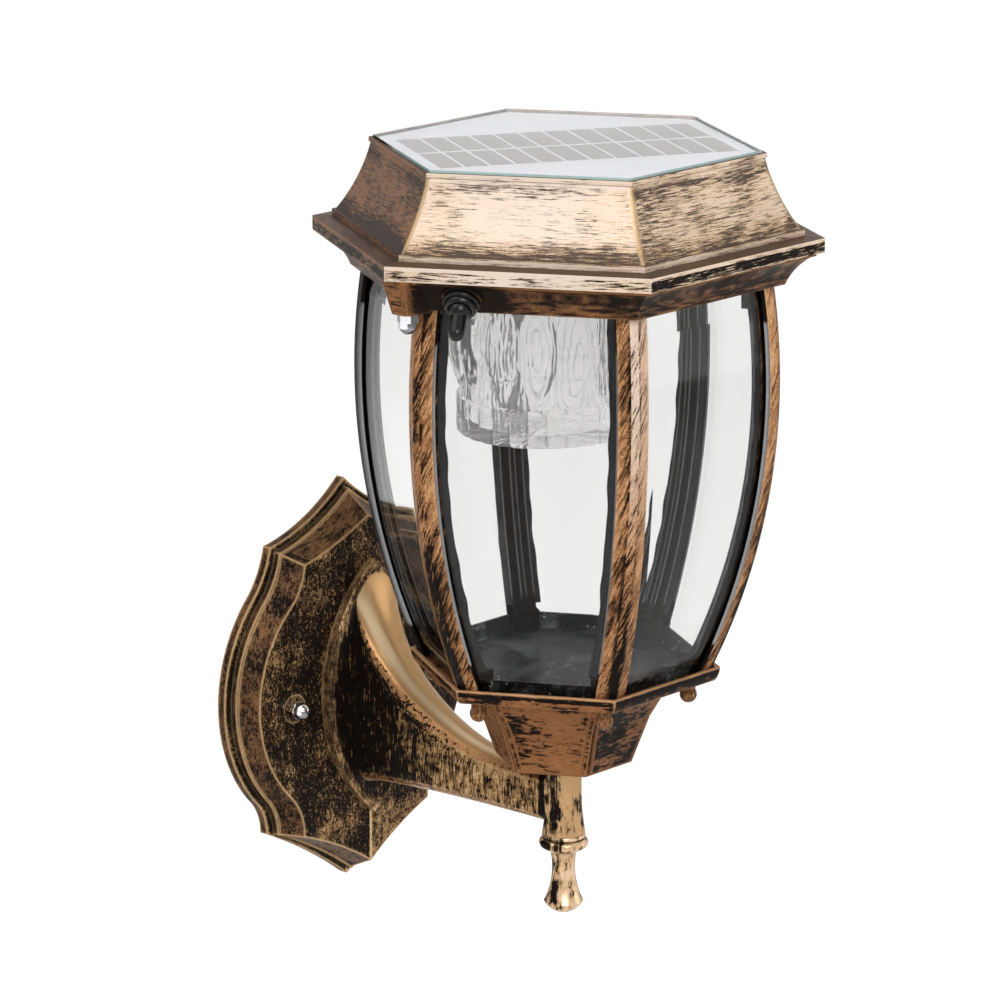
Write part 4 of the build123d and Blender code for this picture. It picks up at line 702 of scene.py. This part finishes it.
def petal_reach(turn, lift):
    """Radius of the diffuser's petals at a turn and a height from their middle."""
    leaf = ((PETAL_LENGTH / 2) ** 2 + PETAL_HALF ** 2) / (2 * PETAL_HALF)
    if abs(lift) >= PETAL_LENGTH / 2:
        return NECK
    half = sqrt(leaf ** 2 - lift ** 2) - leaf + PETAL_HALF
    pitch = 2 * pi / PETALS
    off = PETAL_RING * abs((turn + pitch / 2) % pitch - pitch / 2)
    if off >= half:
        return NECK
    return max(NECK, PETAL_RING + sqrt(half ** 2 - off ** 2))


def flute_reach(turn, above_foot):
    """Radius of the diffuser's fluted band at a turn and a height over its foot."""
    pitch = 2 * pi / FLUTES
    off = abs((turn + pitch / 2) % pitch - pitch / 2) / (pitch / 2)
    reach = FLUTE_RING + FLUTE_BULGE * sqrt(max(0.0, 1 - 0.9 * off ** 2))
    if above_foot < FOOT_ROUND:
        reach -= FOOT_ROUND - sqrt(FOOT_ROUND ** 2 - (FOOT_ROUND - above_foot) ** 2)
    return reach


def add_crystal():
    """Cut-glass diffuser as one closed mesh: outside, foot, bore and top."""
    sides = PETALS * 20
    top = crystal_high.z
    foot = crystal_low.z
    band_top = foot + BAND
    flange_low = top - FLANGE_THICK
    middle = top - PETAL_DROP - PETAL_LENGTH / 2
    turns = [2 * pi * k / sides for k in range(sides)]
    rows = [(top, [BORE] * sides), (foot + FOOT_THICK, [BORE] * sides)]
    outer = [foot + FOOT_ROUND * (1 - cos(pi / 2 * k / 6)) for k in range(7)]
    outer += [foot + FOOT_ROUND + (BAND - FOOT_ROUND) * k / 5 for k in range(1, 6)]
    shell = [(height, [flute_reach(turn, height - foot) for turn in turns]) for height in outer]
    steps = 44
    for k in range(steps + 1):
        height = band_top + (flange_low - band_top) * k / steps
        shell.append((height, [petal_reach(turn, height - middle) for turn in turns]))
    shell.append((flange_low, [FLANGE] * sides))
    shell.append((top, [FLANGE] * sides))
    loops = shell + rows
    vertices = []
    for height, reaches in loops:
        for turn, reach in zip(turns, reaches):
            vertices.append((CRYSTAL_AXIS.x + reach * sin(turn), CRYSTAL_AXIS.y + reach * cos(turn), height))
    faces = []
    for ring in range(len(loops) - 1):
        for k in range(sides):
            after = (k + 1) % sides
            a = ring * sides
            b = a + sides
            faces.append((a + k, b + k, b + after, a + after))
    last = (len(loops) - 1) * sides
    faces.append(tuple(range(sides)))
    faces.append(tuple(last + k for k in reversed(range(sides))))
    piece = mesh_piece("cut_crystal", vertices, faces, cut_glass(), "lantern")
    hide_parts("crystal")


def bow_point(azimuth, angle, along, out):
    """Point near a rib at an angle of its bow, moved along the corner's tangent and out from its nose."""
    reach = BOW_PEAK - BOW_RADIUS + (BOW_RADIUS + out) * cos(angle)
    height = rib_high.z - BOW_DROP + (BOW_RADIUS + out) * sin(angle)
    turn = radians(azimuth)
    tangent = Vector((cos(turn), sin(turn), 0))
    return AXIS + heading(azimuth) * reach + tangent * along + Vector((0, 0, height))


def add_sealant():
    """Uneven black sealing beads where the panes sit in the ribs, seen through the glass."""
    vertices = []
    faces = []
    high = asin(BOW_DROP / BOW_RADIUS)
    low = -asin((rib_high.z - rib_low.z - BOW_DROP - PAN_RIM) / BOW_RADIUS)
    steps = 70
    for number, azimuth in enumerate(CORNERS):
        for side in (-1, 1):
            seed = number * 2.3 + side * 0.7
            start = len(vertices)
            for k in range(steps + 1):
                angle = low + (high - low) * k / steps
                wave = sin(angle * 61 + seed) * sin(angle * 23 + 2 * seed) + 0.4 * sin(angle * 111 + 3 * seed)
                wide = BEAD_WIDE + 0.0003 * wave
                deep = BEAD_DEEP + 0.0004 * sin(angle * 90 + seed)
                shape = [(BAR_HALF - BEAD_SINK, PANE_INSIDE + BEAD_SINK),
                         (BAR_HALF - BEAD_SINK, PANE_INSIDE - deep),
                         (BAR_HALF + wide * 0.45, PANE_INSIDE - PANE_SLOPE * wide * 0.45 - deep * 0.55),
                         (BAR_HALF + wide, PANE_INSIDE - PANE_SLOPE * wide - 0.0001)]
                vertices += [bow_point(azimuth, angle, side * along, out) for along, out in shape]
            for k in range(steps):
                for m in range(4):
                    a = start + 4 * k
                    n = (m + 1) % 4
                    faces.append((a + m, a + n, a + 4 + n, a + 4 + m))
            faces.append((start + 3, start + 2, start + 1, start))
            end = start + 4 * steps
            faces.append((end, end + 1, end + 2, end + 3))
    black = plain("sealant_black", rgb(0.006, 0.006, 0.006), rgb(0.016, 0.016, 0.016), 0.35,
                  grain=400.0, specular=0.2)
    mesh_piece("sealant_beads", vertices, faces, black, "lantern")


add_crystal()
add_sealant()


# Floor, light and camera
def floor_material():
    """Pale floor that takes shadows and is seen as white."""
    g = Graph("floor_pale")
    grain = g.noise(g.place, 30.0, 3.0, 0.5)
    colour = g.mix(grain, rgb(0.86, 0.86, 0.86), rgb(0.89, 0.89, 0.89))
    matt = g.add("ShaderNodeBsdfDiffuse", {"Color": colour})
    path = g.add("ShaderNodeLightPath").outputs
    seen = g.math("MAXIMUM", path["Is Glossy Ray"], path["Is Transmission Ray"])
    seen = g.math("MAXIMUM", path["Is Camera Ray"], seen)
    glow = g.add("ShaderNodeEmission", {"Color": rgb(1, 1, 1), "Strength": g.times(seen, 0.83)})
    both = g.add("ShaderNodeAddShader")
    g.tree.links.new(matt.outputs[0], both.inputs[0])
    g.tree.links.new(glow.outputs[0], both.inputs[1])
    g.tree.links.new(both.outputs[0], g.out.inputs["Surface"])
    return g.material


def add_floor():
    low = cad_box[0][2] - FLOOR_DROP
    turns = ((-1, -1), (1, -1), (1, 1), (-1, 1))
    corners = [(x * FLOOR_HALF, y * FLOOR_HALF, low) for x, y in turns]
    mesh = bpy.data.meshes.new("floor")
    mesh.from_pydata(corners, [], [(0, 1, 2, 3)])
    mesh.materials.append(floor_material())
    floor = bpy.data.objects.new("floor", mesh)
    bpy.context.scene.collection.objects.link(floor)


def aim(thing, place, target):
    """Puts a lamp or camera at a place, looking at a target."""
    thing.location = place
    thing.rotation_euler = (Vector(target) - Vector(place)).to_track_quat("-Z", "Y").to_euler()


def add_lamp(name, azimuth, elevation, distance, size, power):
    """Soft square lamp, azimuth 0 in front of the wall."""
    data = bpy.data.lights.new(name, "AREA")
    data.energy = power
    data.size = size
    lamp = bpy.data.objects.new(name, data)
    bpy.context.scene.collection.objects.link(lamp)
    turn = radians(azimuth)
    lift = radians(elevation)
    middle = Vector((AXIS.x, AXIS.y, LIT_LEVEL))
    away = Vector((sin(turn) * cos(lift), -cos(turn) * cos(lift), sin(lift)))
    aim(lamp, middle + away * distance, middle)


def add_world():
    world = bpy.data.worlds.new("studio")
    bpy.context.scene.world = world
    world.use_nodes = True
    tree = world.node_tree
    tree.nodes.clear()
    path = tree.nodes.new("ShaderNodeLightPath").outputs
    ambient = tree.nodes.new("ShaderNodeBackground")
    ambient.inputs["Color"].default_value = rgb(0.95, 0.97, 1.0)
    ambient.inputs["Strength"].default_value = 0.20
    white = tree.nodes.new("ShaderNodeBackground")
    white.inputs["Strength"].default_value = 1.0
    white.inputs["Color"].default_value = rgb(1, 1, 1)
    seen = path["Is Camera Ray"]
    for other in ("Is Glossy Ray", "Is Transmission Ray"):
        node = tree.nodes.new("ShaderNodeMath")
        node.operation = "MAXIMUM"
        tree.links.new(seen, node.inputs[0])
        tree.links.new(path[other], node.inputs[1])
        seen = node.outputs[0]
    both = tree.nodes.new("ShaderNodeMixShader")
    out = tree.nodes.new("ShaderNodeOutputWorld")
    tree.links.new(seen, both.inputs[0])
    tree.links.new(ambient.outputs[0], both.inputs[1])
    tree.links.new(white.outputs[0], both.inputs[2])
    tree.links.new(both.outputs[0], out.inputs["Surface"])


def add_camera():
    data = bpy.data.cameras.new("photo_camera")
    data.lens = CAMERA_LENS
    data.sensor_width = SENSOR_WIDTH
    data.clip_end = CLIP_END
    camera = bpy.data.objects.new("photo_camera", data)
    bpy.context.scene.collection.objects.link(camera)
    aim(camera, CAMERA_PLACE, CAMERA_AIM)
    bpy.context.scene.camera = camera


add_floor()
add_world()
add_lamp("key", -38, 32, 1.6, 1.0, 19)
add_lamp("side", 48, 4, 1.6, 0.7, 3)
add_lamp("left", -108, 46, 1.5, 1.0, 6)
add_camera()
bpy.context.scene.view_settings.view_transform = "Standard"
